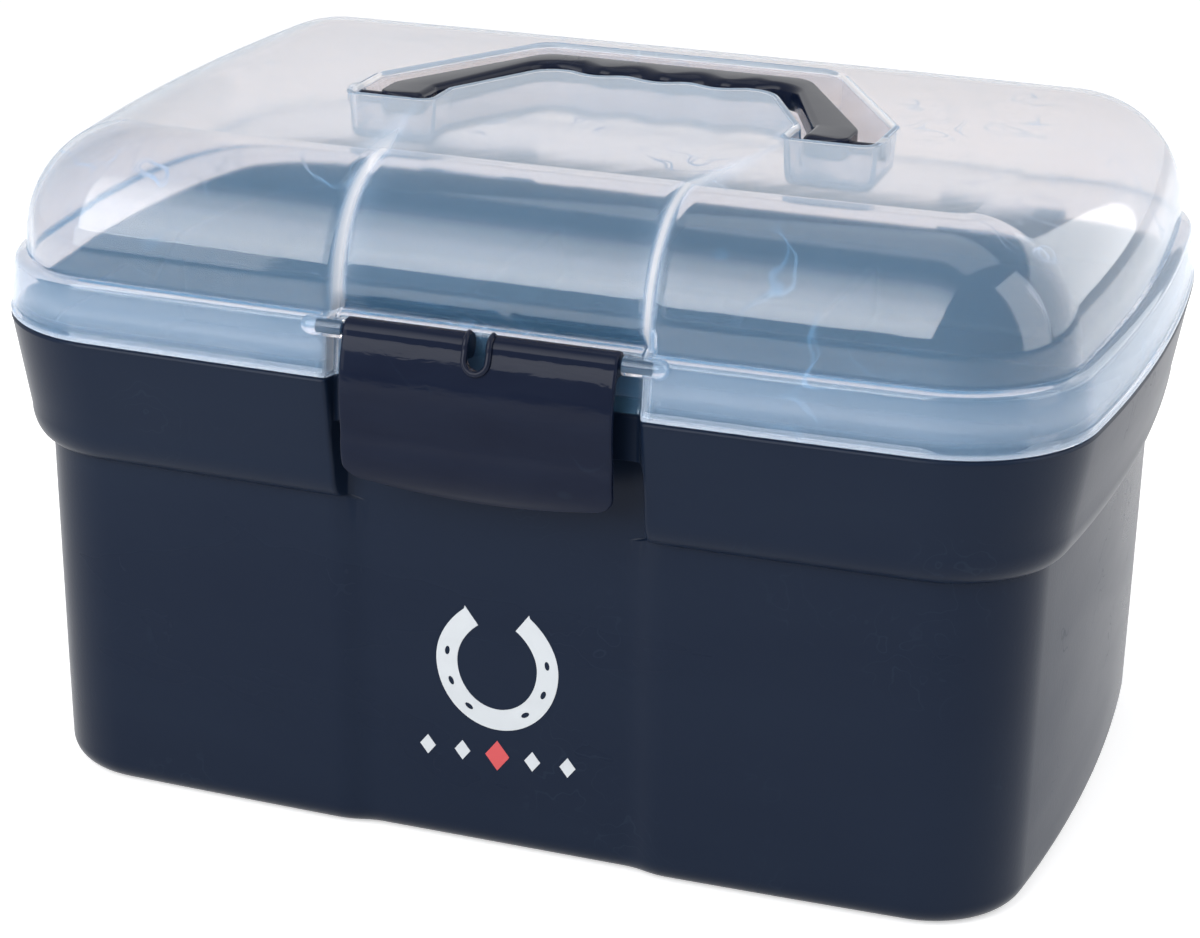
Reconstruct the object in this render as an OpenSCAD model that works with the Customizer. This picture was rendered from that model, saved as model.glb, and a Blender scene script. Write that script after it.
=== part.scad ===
// Grooming box: a crowned tub under a clear domed lid, with a front latch, a handle that
// folds into the lid and a lift-out tray. Millimetres, Z up, front towards -Y, and the
// origin at the middle of the bottom.

/* [Box] */
// Width over the rim
box_w = 400; // [360:1:460]
// Depth over the rim
box_d = 268; // [250:1:310]
// Plan radius of the rim's corners
corner_r = 50; // [44:1:60]
// Crown of the front and the back
front_bow = 2; // [1:0.5:4]
// Crown of the two ends
side_bow = 4.5; // [1:0.5:8]

/* [Tub] */
// Height of the rim
tub_h = 174; // [150:1:220]
// Wall of the tub
tub_wall = 2.4; // [1.8:0.1:3.2]
// Thickness of the bottom
floor_t = 2.8; // [2:0.1:4]
// How far the tub's wall lies inside the rim
tub_inset = 12.8; // [11:0.2:16]
// Draft of the wall from collar to bottom
tub_draft = 1.6; // [0.5:0.1:4]
// Radius of the bottom edge
bottom_r = 8.5; // [5:0.5:12]
// Height of the collar under the rim
collar_h = 46; // [40:1:56]
// How far the collar leans in at its foot
collar_lean = 5.6; // [4:0.2:7]
// Radius of the collar's lower edge
collar_r = 12; // [8:0.5:14]
// Height of the tongue that the lid shuts over
tongue_h = 4.5; // [3:0.5:7]

/* [Front recess] */
// Width of the gap in the collar
gap_w = 108; // [102:1:120]
// Width of the recess floor below the collar
recess_w = 98; // [80:1:100]
// Depth of the recess below the collar
recess_depth = 3; // [2:0.5:4]
// Depth of the recess at the rim and the lid's skirt
rim_recess = 6.2; // [5.6:0.1:7]
// Depth of the recess in the dome
dome_recess = 3.6; // [2:0.2:5]

/* [Lid] */
// Height of the lid over the rim
lid_h = 67; // [60:1:80]
// Wall of the lid
lid_wall = 2; // [1.6:0.1:2.4]
// Height of the lid's skirt
skirt_h = 18; // [14:1:22]
// Step from the skirt in to the dome
dome_step = 6.4; // [5:0.2:8]
// Radius of the dome's edge
dome_r = 40; // [30:1:42]

/* [Latch] */
// Width of the latch
latch_w = 96; // [80:1:98]
// Height from the pivot to the lower edge
latch_drop = 54; // [48:1:56]
// Thickness of the latch plate
latch_t = 2.6; // [2:0.1:3]
// Radius of the roll round the pivot
roll_r = 4.4; // [4:0.1:4.6]
// Radius of the latch's stub pins
stub_r = 1.6; // [1.2:0.1:2]

/* [Handle] */
// Width over the handle's feet
handle_span = 176; // [160:1:190]
// From the pivot to the back of the grip
handle_reach = 72; // [66:1:76]
// Thickness of the handle
handle_t = 10; // [8:0.5:11]
// Width of each foot
foot_w = 17; // [15:0.5:20]
// Depth of the grip over its crests
grip_d = 15; // [13:0.5:18]
// Spacing of the finger hollows
finger_pitch = 24; // [22:0.5:25]
// Depth of the finger hollows
finger_hollow = 3.4; // [2:0.2:5]
// Radius of the handle's pivot stubs
pivot_r = 3; // [2.5:0.1:3.5]
// Depth of the handle's pocket in the lid
pocket_depth = 17; // [15:0.5:20]
// Finger room behind the grip
finger_room = 15; // [12:0.5:17]

/* [Tray] */
// Height of the tray
tray_h = 34; // [26:1:38]
// Wall of the tray
tray_wall = 1.8; // [1.4:0.1:2.4]
// Height of the tray's dividers
divider_h = 24; // [15:1:24]
// Width of the finger notch in each end
notch_w = 44; // [30:1:60]

/* [Hinges] */
// Distance of each hinge from the middle
hinge_x = 110; // [90:1:120]
// Length of the lid's knuckle
lid_knuckle = 24; // [16:1:30]
// Length of each of the tub's knuckles
tub_knuckle = 12; // [9:1:16]
// Outer radius of the knuckles
knuckle_r = 5; // [4.4:0.1:5.6]
// Radius of the hinge pin
pin_r = 1.5; // [1.2:0.1:2]

/* [Hidden] */

// Gap between pieces that move past each other
clear = 0.3;
// Running clearance of a pin in its bore
run = 0.05;
// How far a cut runs past the face that it cuts
over = 1;
// Smallest plan radius of an inner corner
least_r = 2;
$fn = 48;

// Points along the curves
corner_n = 6;
side_n = 4;
step_n = 3;
arc_n = 8;
fillet_n = 4;
turn_n = 6;
wave_n = 6;

// Tub
collar_z = tub_h - collar_h;
rim_edge = 1;
tongue_e = 3.5;
tongue_t = 1.6;
tongue_edge = 0.6;
rim_in = tongue_e + tongue_t;
ledge_z = collar_z + tub_wall + tub_wall/2;
ledge_e = collar_lean + tub_wall + tongue_t;
ledge_fillet = 3;
recess_draft = 0.4;
step_w = 9;
gap_step = 1.6;
catch_h = 16;
catch_slope = 4;

// Lid
lid_z = tub_h + clear;
lid_top = tub_h + lid_h;
lip_h = 2;
lip_e = 0.8;
skirt_lean = 2.2;
shoulder_h = 4;
dome_w = 104;
dome_ramp = 5;
dome_e = dome_step + lip_e/2;
dome_z = lid_top - dome_r;

// Latch
latch_y = -box_d/2 + rim_recess - roll_r + lid_wall/2;
latch_z = tub_h + skirt_h;
stub_len = 6.2;
boss_r = 3.4;
boss_len = 8;
boss_end = 1.8;
boss_tip = 2.4;
latch_bulge = 3;
latch_tuck = 2.2;
latch_return_share = 0.62;
latch_swell = 1.4;
latch_turn = 2.4;
latch_sag = 3.6;
latch_corner = 9;
latch_flank = 7;
slot_w = 7.6;
slot_depth = 11.4;
slot_bead = 1.5;
slot_proud = 0.8;
hook_h = 4;
hook_gap = 0.5;

// Handle and its pocket
pivot_y = -7;
pivot_z = lid_top - handle_t/2;
nose = 6.5;
nose_r = 4.5;
foot_len = 9;
foot_bend = 6;
leg_bend = 14;
leg_back = 12;
leg_splay = 36;
knee = 13;
handle_edge = 3;
grip_bow = 0.6;
pocket_gap = 4;
grip_gap = 10;
pocket_front = 3;
pocket_end = 9;
pocket_end_len = 19;
pocket_splay = 30;
pocket_r = 4;
pocket_edge = 12;
pivot_boss_r = 4.6;
pivot_boss = 4;
pivot_len = 3;

// Tray
tray_room = 1.2;
tray_e = ledge_e + tray_room;
tray_z = ledge_z + clear;
tray_edge = 3;
tray_draft = 1;
tray_notch = 3;
tray_step = rim_in + tray_room;
divider_y = 22;
divider_x = 66;
notch_depth = 14;

// Hinges
knuckle_gap = 2;
hinge_y = box_d/2 + knuckle_r + knuckle_gap;
hinge_z = tub_h;
hinge_gap = 0.4;
gusset_h = 15;
pin_stop = 2;
web_lift = 1;

// Curves and outlines

function unit(v) = v / norm(v);

// Radius of a side that is crowned by a bow over twice a half length
function bowed(half, bow) = (half*half + bow*bow) / (2*bow);

// Corners of the plan outline at an inset from the rim: corner radius, corner centre,
// radii of the crowned sides
function corner_at(e) = max(corner_r - e, least_r);
function centre_x(e) = box_w/2 - side_bow - e - corner_at(e);
function centre_y(e) = box_d/2 - front_bow - e - corner_at(e);
function front_rad(e) = bowed(centre_x(e), front_bow) + corner_at(e);
function side_rad(e) = bowed(centre_y(e), side_bow) + corner_at(e);

// Distance of the crowned front or back from the middle at a place along it
function back_y(x, e) = box_d/2 - e - front_rad(e) + sqrt(pow(front_rad(e), 2) - x*x);

// Right half of the plan outline, from the recess floor in front to the middle of the back.
// The floor lies a depth behind the front, and a ramp leads from it out to the front.
function half_outline(e, depth, floor_x, ramp_x) =
    let (r = corner_at(e),
         cx = centre_x(e),
         cy = centre_y(e),
         front = asin(cx / (front_rad(e) - r)),
         side = asin(cy / (side_rad(e) - r)),
         start = asin(ramp_x / front_rad(e)),
         floor_y = -(box_d/2 - e - depth),
         ramp_y = -back_y(ramp_x, e))
    concat(
        [for (k = [0:step_n])
            let (s = k/step_n, rise = s*s*(3 - 2*s))
            [floor_x + (ramp_x - floor_x)*s, floor_y + (ramp_y - floor_y)*rise]],
        [for (k = [1:side_n - 1])
            let (x = front_rad(e)*sin(start + (front - start)*k/side_n))
            [x, -back_y(x, e)]],
        [for (k = [0:corner_n])
            let (a = front + (90 - side - front)*k/corner_n)
            [cx + r*sin(a), -cy - r*cos(a)]],
        [for (k = [1:side_n - 1])
            let (a = side*(2*k/side_n - 1))
            [box_w/2 - e - side_rad(e)*(1 - cos(a)), side_rad(e)*sin(a)]],
        [for (k = [0:corner_n])
            let (a = front + (90 - side - front)*(1 - k/corner_n))
            [cx + r*sin(a), cy + r*cos(a)]],
        [for (k = [side_n - 1:-1:1])
            let (x = front_rad(e)*sin(front*k/side_n))
            [x, back_y(x, e)]]);

function mirrored(half) = [for (k = [len(half) - 1:-1:0]) [-half[k][0], half[k][1]]];

// Closed ring at a height, from [height, inset, recess depth, floor half width, ramp half width]
function ring(s) =
    let (half = half_outline(s[1], s[2], s[3], s[4]),
         back = [[0, box_d/2 - s[1]]])
    [for (p = concat(half, back, mirrored(half))) [p[0], p[1], s[0]]];

// Closed surface through rings with as many points each, anticlockwise and from the lowest up,
// with the points and faces that close its ends
module skin(rings, ends, faces) {
    n = len(rings[0]);
    polyhedron(
        points = concat([for (r = rings) each r], ends),
        faces = concat(
            [for (i = [0:len(rings) - 2], k = [0:n - 1], half = [0, 1])
                let (a = i*n + k, b = i*n + (k + 1) % n)
                half == 0 ? [a, a + n, b + n] : [a, b + n, b]],
            faces));
}

// Solid through rings round the Z axis, whose end faces fan out from the axis
module loft(rings) {
    n = len(rings[0]);
    last = (len(rings) - 1)*n;
    skin(rings, [for (r = [rings[0], rings[len(rings) - 1]]) [0, 0, r[0][2]]],
         concat([for (k = [0:n - 1]) [k, (k + 1) % n, last + n]],
                [for (k = [0:n - 1]) [last + (k + 1) % n, last + k, last + n + 1]]));
}

// Solid through rings that run along one edge of a band and back along its other edge
module band(rings) {
    n = len(rings[0]);
    last = (len(rings) - 1)*n;
    rungs = [for (k = [0:n/2 - 2]) [k, k + 1, n - 2 - k, n - 1 - k]];
    skin(rings, [],
         concat(rungs, [for (f = rungs) [for (k = backwards(f)) last + k]]));
}

// Closed path with each corner turned into an arc of its radius, or left sharp at zero
function rounded(path, radii) =
    [for (i = [0:len(path) - 1])
        let (p = path[i],
             to_last = unit(path[(i + len(path) - 1) % len(path)] - p),
             to_next = unit(path[(i + 1) % len(path)] - p),
             angle = acos(to_last * to_next),
             centre = p + unit(to_last + to_next)*radii[i]/sin(angle/2),
             from = p + to_last*radii[i]/tan(angle/2) - centre,
             turn = sign(to_next[0]*to_last[1] - to_next[1]*to_last[0])*(180 - angle))
        each radii[i] == 0 ? [p] :
            [for (k = [0:turn_n])
                let (a = atan2(from[1], from[0]) + turn*k/turn_n)
                centre + radii[i]*[cos(a), sin(a)]]];

// Closed path that runs anticlockwise, moved out by a distance
function outset(path, d) =
    [for (i = [0:len(path) - 1])
        let (before = unit(path[i] - path[(i + len(path) - 1) % len(path)]),
             after = unit(path[(i + 1) % len(path)] - path[i]),
             n1 = [before[1], -before[0]],
             n2 = [after[1], -after[0]],
             m = unit(n1 + n2))
        path[i] + m*d/(m*n1)];

// Points from one end to the other on an arc that swells by a sagitta to the left
function swell(from, to, sagitta) =
    let (half = norm(to - from)/2,
         rad = bowed(half, sagitta),
         along = unit(to - from),
         left = [-along[1], along[0]],
         centre = (from + to)/2 + left*(sagitta - rad),
         top = asin(half/rad))
    [for (k = [0:arc_n])
        let (a = top*(2*k/arc_n - 1))
        centre + rad*(along*sin(a) + left*cos(a))];

// Tub

function tub_e(z) = tub_inset + tub_draft*(1 - z/collar_z);
function collar_e(z) = collar_lean*(tub_h - z)/(collar_h - collar_r);

gap_floor = tub_inset + recess_depth;
catch_z = tub_h - catch_h;
ramp_low = recess_w/2 + step_w;
ramp_gap = gap_w/2 + gap_step;

// Ring of the wall below the collar
function wall_ring(z, e, wall) =
    [z, e, recess_depth, recess_w/2 + wall, ramp_low + wall];

// Ring through the gap in the collar, with its floor at a given inset
function gap_ring(z, e, floor_e, wall) =
    [z, e, floor_e - e, gap_w/2 + wall, ramp_gap + wall];

tub_rings = concat(
    [for (k = [0:fillet_n])
        let (a = 90*k/fillet_n)
        wall_ring(bottom_r*(1 - cos(a)), tub_e(0) + bottom_r*(1 - sin(a)), 0)],
    [wall_ring(collar_z - gap_step, tub_e(collar_z), 0)],
    [for (k = [0:fillet_n])
        let (a = 90*k/fillet_n, foot = collar_e(collar_z + collar_r))
        gap_ring(collar_z + collar_r*(1 - cos(a)),
                 tub_inset - (tub_inset - foot)*sin(a), gap_floor, 0)],
    [gap_ring(catch_z - catch_slope, collar_e(catch_z - catch_slope), gap_floor, 0),
     gap_ring(catch_z, collar_e(catch_z), rim_recess, 0),
     gap_ring(tub_h - rim_edge, collar_e(tub_h - rim_edge), rim_recess, 0),
     gap_ring(tub_h, rim_edge, rim_recess + recess_draft, 0),
     gap_ring(tub_h, tongue_e, rim_recess + tongue_e, tongue_e),
     gap_ring(tub_h + tongue_h - tongue_edge, tongue_e, rim_recess + tongue_e, tongue_e),
     gap_ring(tub_h + tongue_h, tongue_e + tongue_edge, rim_recess + tongue_e + tongue_edge,
              tongue_e + tongue_edge),
     gap_ring(tub_h + tongue_h, rim_in, rim_recess + rim_in, rim_in),
     gap_ring(catch_z, collar_e(catch_z)/2 + rim_in, rim_recess + rim_in + recess_draft, rim_in),
     gap_ring(catch_z - catch_slope, collar_e(catch_z)/2 + rim_in + recess_draft,
              gap_floor + tub_wall, rim_in),
     gap_ring(ledge_z + ledge_fillet, ledge_e, gap_floor + tub_wall, rim_in),
     gap_ring(ledge_z, ledge_e + ledge_fillet/2, gap_floor + tub_wall, rim_in),
     wall_ring(ledge_z, tub_e(ledge_z) + tub_wall + recess_draft, tub_wall)],
    [for (k = [fillet_n:-1:0])
        let (a = 90*k/fillet_n, r = bottom_r - tub_wall)
        wall_ring(floor_t + r*(1 - cos(a)), tub_e(0) + tub_wall + r*(1 - sin(a)), tub_wall)]);

// Barrel along X about the hinge axis
module barrel(x, length, r) {
    translate([x - length/2, hinge_y, hinge_z])
        rotate([0, 90, 0])
            cylinder(h = length, r = r);
}

// Block along X, from a list of points in Y and Z
module across(x, length, profile) {
    translate([x - length/2, 0, 0])
        rotate([90, 0, 90])
            linear_extrude(length)
                polygon(profile);
}

tub_knuckle_x = (lid_knuckle + tub_knuckle)/2 + hinge_gap;
pin_len = lid_knuckle + 2*tub_knuckle + 2*hinge_gap - pin_stop;

// Y of the tub's back at a hinge, inside the collar's wall
function collar_back(z) = back_y(hinge_x, max(collar_e(z), 0)) - tub_wall;

module base_tub() {
    color([0.10, 0.12, 0.19])
        difference() {
            union() {
                loft([for (s = tub_rings) ring(s)]);
                for (side = [-1, 1], end = [-1, 1]) {
                    x = side*hinge_x + end*tub_knuckle_x;
                    barrel(x, tub_knuckle, knuckle_r);
                    across(x, tub_knuckle,
                           [[collar_back(hinge_z - gusset_h), hinge_z - gusset_h],
                            [hinge_y, hinge_z - knuckle_r + web_lift],
                            [hinge_y, hinge_z],
                            [collar_back(tub_h), hinge_z - rim_edge]]);
                }
            }
            for (side = [-1, 1])
                barrel(side*(hinge_x - pin_stop/2 - over/2), pin_len + over, pin_r + run);
        }
}

// Lid

function skirt_e(z) = lip_e + (skirt_lean - lip_e)*(z - lid_z - lip_h)/(skirt_h - lip_h);

// Ring of the skirt, beside the latch
function skirt_ring(z, e, wall) = [z, e, rim_recess, gap_w/2 + wall, ramp_gap + wall];

// Ring of the dome, with its shallower recess
function dome_ring(z, e, wall) =
    [z, e, dome_recess, dome_w/2 + wall, dome_w/2 + dome_ramp + wall];

skirt_top = tub_h + skirt_h;

function dome_rings(wall) =
    [for (k = [0:arc_n])
        let (a = 90*k/arc_n)
        dome_ring(dome_z + (dome_r - wall)*sin(a),
                  dome_e + dome_r - (dome_r - wall)*cos(a), wall)];

lid_outer = concat(
    [skirt_ring(lid_z, 0, 0),
     skirt_ring(lid_z + lip_h, 0, 0),
     skirt_ring(lid_z + lip_h + lip_e, skirt_e(lid_z + lip_h + lip_e), 0)],
    [for (k = [0:fillet_n])
        let (a = 90*k/fillet_n)
        skirt_ring(skirt_top + shoulder_h*sin(a),
                   skirt_lean + (dome_step - skirt_lean)*(1 - cos(a)), 0)],
    dome_rings(0));

lid_inner = concat(
    [skirt_ring(lid_z, lid_wall, lid_wall),
     skirt_ring(lid_z + lip_h + lip_e, skirt_e(lid_z + lip_h + lip_e) + lid_wall, lid_wall),
     skirt_ring(skirt_top, skirt_lean + lid_wall, lid_wall),
     skirt_ring(skirt_top + shoulder_h - lid_wall, dome_step + lid_wall, lid_wall)],
    dome_rings(lid_wall));

// Handle in plan, right half: the wavy inner edge and the corners from the grip to the foot
foot_x = handle_span/2;
foot_in = foot_x - foot_w;
foot_y = pivot_y - nose;
bend_y = pivot_y + foot_len;
grip_back = pivot_y + handle_reach;
grip_front = grip_back - grip_d;
wave_x = 3*finger_pitch/2;
knee_x = wave_x + knee;
hollow_y = grip_front + finger_hollow + grip_bow;

function wave_y(x) =
    grip_front + finger_hollow*(1 - cos(360*x/finger_pitch))/2 + grip_bow*pow(x/wave_x, 2);

// Wavy inner edge from the left to the right, set forward by a gap
function wave(gap) =
    [for (k = [1 - 3*wave_n:3*wave_n - 1])
        let (x = wave_x*k/(3*wave_n))
        [x, wave_y(x) - gap]];

function backwards(list) = [for (k = [len(list) - 1:-1:0]) list[k]];
function flipped(path) = [for (p = backwards(path)) [-p[0], p[1]]];

function straight(path) = [for (p = path) 0];

// Closed outline from corners and their radii: out along the right and the back to the left
// foot, and home along the wavy inner edge
function hoop(outer, outer_radii, back, front, inner, inner_radii) =
    rounded(concat(outer, back, flipped(outer), flipped(inner), front, inner),
            concat(outer_radii, straight(back), backwards(outer_radii),
                   backwards(inner_radii), straight(front), inner_radii));

handle_outer = [[foot_x, foot_y], [foot_x, bend_y], [foot_x - leg_splay, grip_back]];
handle_inner = [[knee_x, hollow_y], [foot_in, bend_y], [foot_in, foot_y]];
handle_back = [for (p = backwards(wave(0))) [p[0], grip_back]];

pocket_x = foot_x + pocket_end;
pocket_y = foot_y - pocket_front;
pocket_back = grip_back + finger_room;
pocket_outer = [[pocket_x, pocket_y], [pocket_x, bend_y + pocket_end_len - foot_len],
                [foot_x - pocket_splay, pocket_back]];
pocket_inner = [[knee_x - pocket_gap, hollow_y - grip_gap], [foot_in - pocket_gap, bend_y],
                [foot_in - pocket_gap, pocket_y]];

handle_plan = hoop(handle_outer, [nose_r, leg_back, leg_back], handle_back,
                   wave(0), handle_inner, [leg_bend, foot_bend, nose_r]);
pocket_plan = hoop(pocket_outer, [pocket_r, pocket_r, pocket_edge], [],
                   wave(grip_gap), pocket_inner, [leg_bend, foot_bend, pocket_r]);

// Extruded pocket outline between two heights, grown by a wall
module pocket(low, high, wall) {
    translate([0, 0, low])
        linear_extrude(high - low)
            polygon(outset(pocket_plan, wall));
}

// Rod along X on one side, from a distance to another, about an axis in Y and Z
module rod(side, from, to, y, z, r) {
    translate([side > 0 ? from : -to, y, z])
        rotate([0, 90, 0])
            cylinder(h = to - from, r = r);
}

pocket_z = lid_top - pocket_depth;
boss_x = gap_w/2;

module lid_shell() {
    web_y = back_y(hinge_x, lip_e) - lid_wall/2;
    color([0.80, 0.85, 0.92, 0.55])
        difference() {
            union() {
                loft([for (s = concat(backwards(lid_inner), lid_outer)) ring(s)]);
                pocket(pocket_z - lid_wall, lid_top - lid_wall/2, lid_wall);
                for (side = [-1, 1]) {
                    rod(side, pocket_x + lid_wall/2, pocket_x + pivot_boss, pivot_y, pivot_z,
                        pivot_boss_r);
                    rod(side, boss_x, boss_x + boss_len, latch_y, latch_z, boss_r);
                    translate([side*(boss_x + boss_len), latch_y, latch_z])
                        rotate([0, side*90, 0])
                            cylinder(h = boss_tip, r1 = boss_r, r2 = boss_r/2);
                    barrel(side*hinge_x, lid_knuckle, knuckle_r);
                    across(side*hinge_x, lid_knuckle,
                           [[web_y, hinge_z + web_lift],
                            [hinge_y, hinge_z + web_lift],
                            [hinge_y, hinge_z + knuckle_r - web_lift],
                            [web_y, hinge_z + knuckle_r + web_lift]]);
                }
            }
            pocket(pocket_z, lid_top + over, 0);
            for (side = [-1, 1]) {
                rod(side, pocket_x - over, pocket_x + pivot_len + clear, pivot_y, pivot_z,
                    pivot_r + run);
                rod(side, boss_x - over, boss_x + boss_len - boss_end, latch_y, latch_z,
                    stub_r + run);
                barrel(side*hinge_x, lid_knuckle + over, pin_r + run);
            }
        }
}

// Latch

plate_top = [latch_y - roll_r, latch_z];
plate_mid = [latch_y - roll_r - latch_bulge, latch_z - latch_drop*latch_return_share];
plate_low = [latch_y - roll_r + latch_tuck, latch_z - latch_drop];

// Face of the latch plate from the roll down to the lower edge, set in by a thickness
function plate_face(depth) =
    concat(swell(plate_low + [depth, 0], plate_mid + [depth, 0], latch_turn),
           swell(plate_mid + [depth, 0], plate_top + [depth, 0], latch_swell));

// Front view of the plate: straight flanks, round corners and a sagging lower edge
latch_front =
    let (low = latch_z - latch_drop,
         edge = swell([latch_w/2 - latch_corner, low + latch_sag],
                      [-latch_w/2 + latch_corner, low + latch_sag], latch_sag),
         corner = [for (k = [0:turn_n])
             let (a = 90*k/turn_n)
             [latch_w/2 - latch_corner*(1 - cos(a)),
              low + latch_sag + latch_flank*(1 - sin(a))]])
    concat([[latch_w/2, latch_z + roll_r + over]], corner, edge,
           [for (k = [turn_n:-1:0]) [-corner[k][0], corner[k][1]]],
           [[-latch_w/2, latch_z + roll_r + over]]);

slot_z = latch_z + roll_r - slot_depth + slot_w/2;

// Round-ended slot seen from the front, grown by a margin
module slot(low, high, margin) {
    translate([0, high, 0])
        rotate([90, 0, 0])
            linear_extrude(high - low) {
                translate([0, slot_z])
                    circle(slot_w/2 + margin);
                translate([-slot_w/2 - margin, slot_z])
                    square([slot_w + 2*margin, latch_z + roll_r + over - slot_z]);
            }
}

module latch_clip() {
    reach = latch_y - roll_r - latch_bulge - latch_turn - over;
    hook_y = -box_d/2 + rim_recess - hook_gap;
    hook_z = catch_z - catch_slope - hook_h;
    color([0.09, 0.11, 0.17])
        difference() {
            union() {
                intersection() {
                    union() {
                        across(0, latch_w, concat(plate_face(0), backwards(plate_face(latch_t))));
                        rod(1, -latch_w/2, latch_w/2, latch_y, latch_z, roll_r);
                        across(0, latch_w - 2*latch_corner,
                               [[plate_mid[0] + latch_t/2, hook_z],
                                [hook_y, hook_z + hook_h/2],
                                [hook_y, hook_z + hook_h],
                                [plate_mid[0] + latch_t/2, hook_z + hook_h]]);
                    }
                    translate([0, -reach, 0])
                        rotate([90, 0, 0])
                            linear_extrude(-2*reach)
                                polygon(latch_front);
                }
                intersection() {
                    union() {
                        across(0, latch_w, concat(plate_face(-slot_proud),
                                                  backwards(plate_face(latch_t))));
                        rod(1, -latch_w/2, latch_w/2, latch_y, latch_z, roll_r + slot_proud/2);
                    }
                    slot(reach, latch_y, slot_bead);
                }
                for (side = [-1, 1])
                    rod(side, latch_w/2 - over, boss_x + stub_len - clear, latch_y, latch_z, stub_r);
            }
            slot(reach, -reach, 0);
        }
}

// Handle

module carry_handle() {
    color([0.08, 0.10, 0.16]) {
        band([for (k = [0:2*fillet_n + 1])
            let (low = k <= fillet_n,
                 a = low ? 90*k/fillet_n : 90*(k - fillet_n - 1)/fillet_n,
                 e = handle_edge*(1 - (low ? sin(a) : cos(a))),
                 z = low ? pivot_z - handle_t/2 + handle_edge*(1 - cos(a))
                         : pivot_z + handle_t/2 - handle_edge*(1 - sin(a)))
            [for (p = outset(handle_plan, -e)) [p[0], p[1], z]]]);
        for (side = [-1, 1])
            rod(side, foot_x - foot_w/2, pocket_x + pivot_len, pivot_y, pivot_z, pivot_r);
    }
}

// Tray

tray_floor_e = gap_floor + tub_wall + tray_notch;

// Ring of the tray, notched in front to pass the recess
function tray_ring(z, e, wall) =
    [z, e, tray_floor_e + wall - e, gap_w/2 + tray_step + wall, ramp_gap + tray_step + wall];

tray_rings = [
    tray_ring(tray_z, tray_e + tray_draft + tray_edge, tray_wall/2),
    tray_ring(tray_z + tray_edge/2, tray_e + tray_draft + tray_edge/4, tray_wall/4),
    tray_ring(tray_z + tray_edge, tray_e + tray_draft, 0),
    tray_ring(tray_z + tray_h, tray_e, -recess_draft),
    tray_ring(tray_z + tray_h, tray_e + tray_wall, tray_wall - recess_draft),
    tray_ring(tray_z + tray_edge + tray_wall, tray_e + tray_draft + tray_wall, tray_wall),
    tray_ring(tray_z + tray_wall, tray_e + tray_draft + tray_edge + tray_wall,
              tray_wall + tray_wall/2)];

// Rings halfway through the tray's wall, where the dividers end
divider_rings = [
    tray_ring(tray_z + tray_wall/2, tray_e + tray_draft + tray_edge + tray_wall/2, tray_wall),
    tray_ring(tray_z + tray_edge + tray_wall/2, tray_e + tray_draft + tray_wall/2, tray_wall/2),
    tray_ring(tray_z + tray_h, tray_e + tray_wall/2, tray_wall/2 - recess_draft)];

module insert_tray() {
    notch_r = (notch_depth*notch_depth + notch_w*notch_w/4) / (2*notch_depth);
    color([0.10, 0.12, 0.19])
        difference() {
            union() {
                loft([for (s = tray_rings) ring(s)]);
                intersection() {
                    union() {
                        translate([-box_w/2, divider_y - tray_wall/2, tray_z])
                            cube([box_w, tray_wall, divider_h]);
                        for (side = [-1, 1])
                            translate([side*divider_x - tray_wall/2, divider_y, tray_z])
                                cube([tray_wall, box_d/2 - divider_y, divider_h]);
                    }
                    loft([for (s = divider_rings) ring(s)]);
                }
            }
            rod(1, -box_w/2, box_w/2, 0, tray_z + tray_h - notch_depth + notch_r, notch_r);
        }
}

// Hinge pins

module hinge_pin(side) {
    color([0.75, 0.76, 0.78])
        barrel(side*(hinge_x - pin_stop/2 - clear/2), pin_len - clear, pin_r);
}

module hinge_pin_left() {
    hinge_pin(-1);
}

module hinge_pin_right() {
    hinge_pin(1);
}

base_tub();
lid_shell();
latch_clip();
carry_handle();
insert_tray();
hinge_pin_left();
hinge_pin_right();
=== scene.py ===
"""Looks of a grooming box: navy mouldings under a milky clear lid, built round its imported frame."""

from math import asin, cos, pi, radians, sin, sqrt, tan

import bmesh
import bpy
from bpy.props import FloatProperty, FloatVectorProperty, IntProperty, PointerProperty
from mathutils import Matrix, Vector


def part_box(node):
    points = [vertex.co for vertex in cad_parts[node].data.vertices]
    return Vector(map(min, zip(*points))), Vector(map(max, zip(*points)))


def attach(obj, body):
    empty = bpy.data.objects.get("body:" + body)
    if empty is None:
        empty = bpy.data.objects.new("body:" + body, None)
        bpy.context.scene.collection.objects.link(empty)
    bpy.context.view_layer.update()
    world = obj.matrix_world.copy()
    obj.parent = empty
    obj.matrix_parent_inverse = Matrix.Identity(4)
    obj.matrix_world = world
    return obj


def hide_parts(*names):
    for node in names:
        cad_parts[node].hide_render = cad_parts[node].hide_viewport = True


bl_info = {
    "name": "Grooming Box",
    "version": (1, 0, 0),
    "blender": (4, 5, 0),
    "location": "View3D > Sidebar > Grooming Box",
    "description": "Builds the pieces, finishes and stage of a lidded grooming box",
    "category": "Object",
}

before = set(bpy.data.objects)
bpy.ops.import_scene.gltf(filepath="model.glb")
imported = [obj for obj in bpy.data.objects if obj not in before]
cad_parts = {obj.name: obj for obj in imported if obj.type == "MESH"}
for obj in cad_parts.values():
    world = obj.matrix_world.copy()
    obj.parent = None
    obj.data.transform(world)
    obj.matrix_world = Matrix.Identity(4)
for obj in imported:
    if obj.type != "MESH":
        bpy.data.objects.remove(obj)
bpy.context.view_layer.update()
LID_LOW, LID_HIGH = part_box("lid_shell")
TUB_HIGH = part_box("base_tub")[1]
HANDLE_LOW, HANDLE_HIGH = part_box("carry_handle")

# Points along the curves of the outlines, and round a turned part
FLOOR_N, RAMP_N, FRONT_N, CORNER_N, SIDE_N, TURN_N, WAVE_N, ROUND_N = 6, 7, 14, 18, 16, 10, 10, 32
LEAST_RADIUS = 0.002

# Height of the rim, where tub, lid and hinges meet
RIM = 0.174

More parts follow.
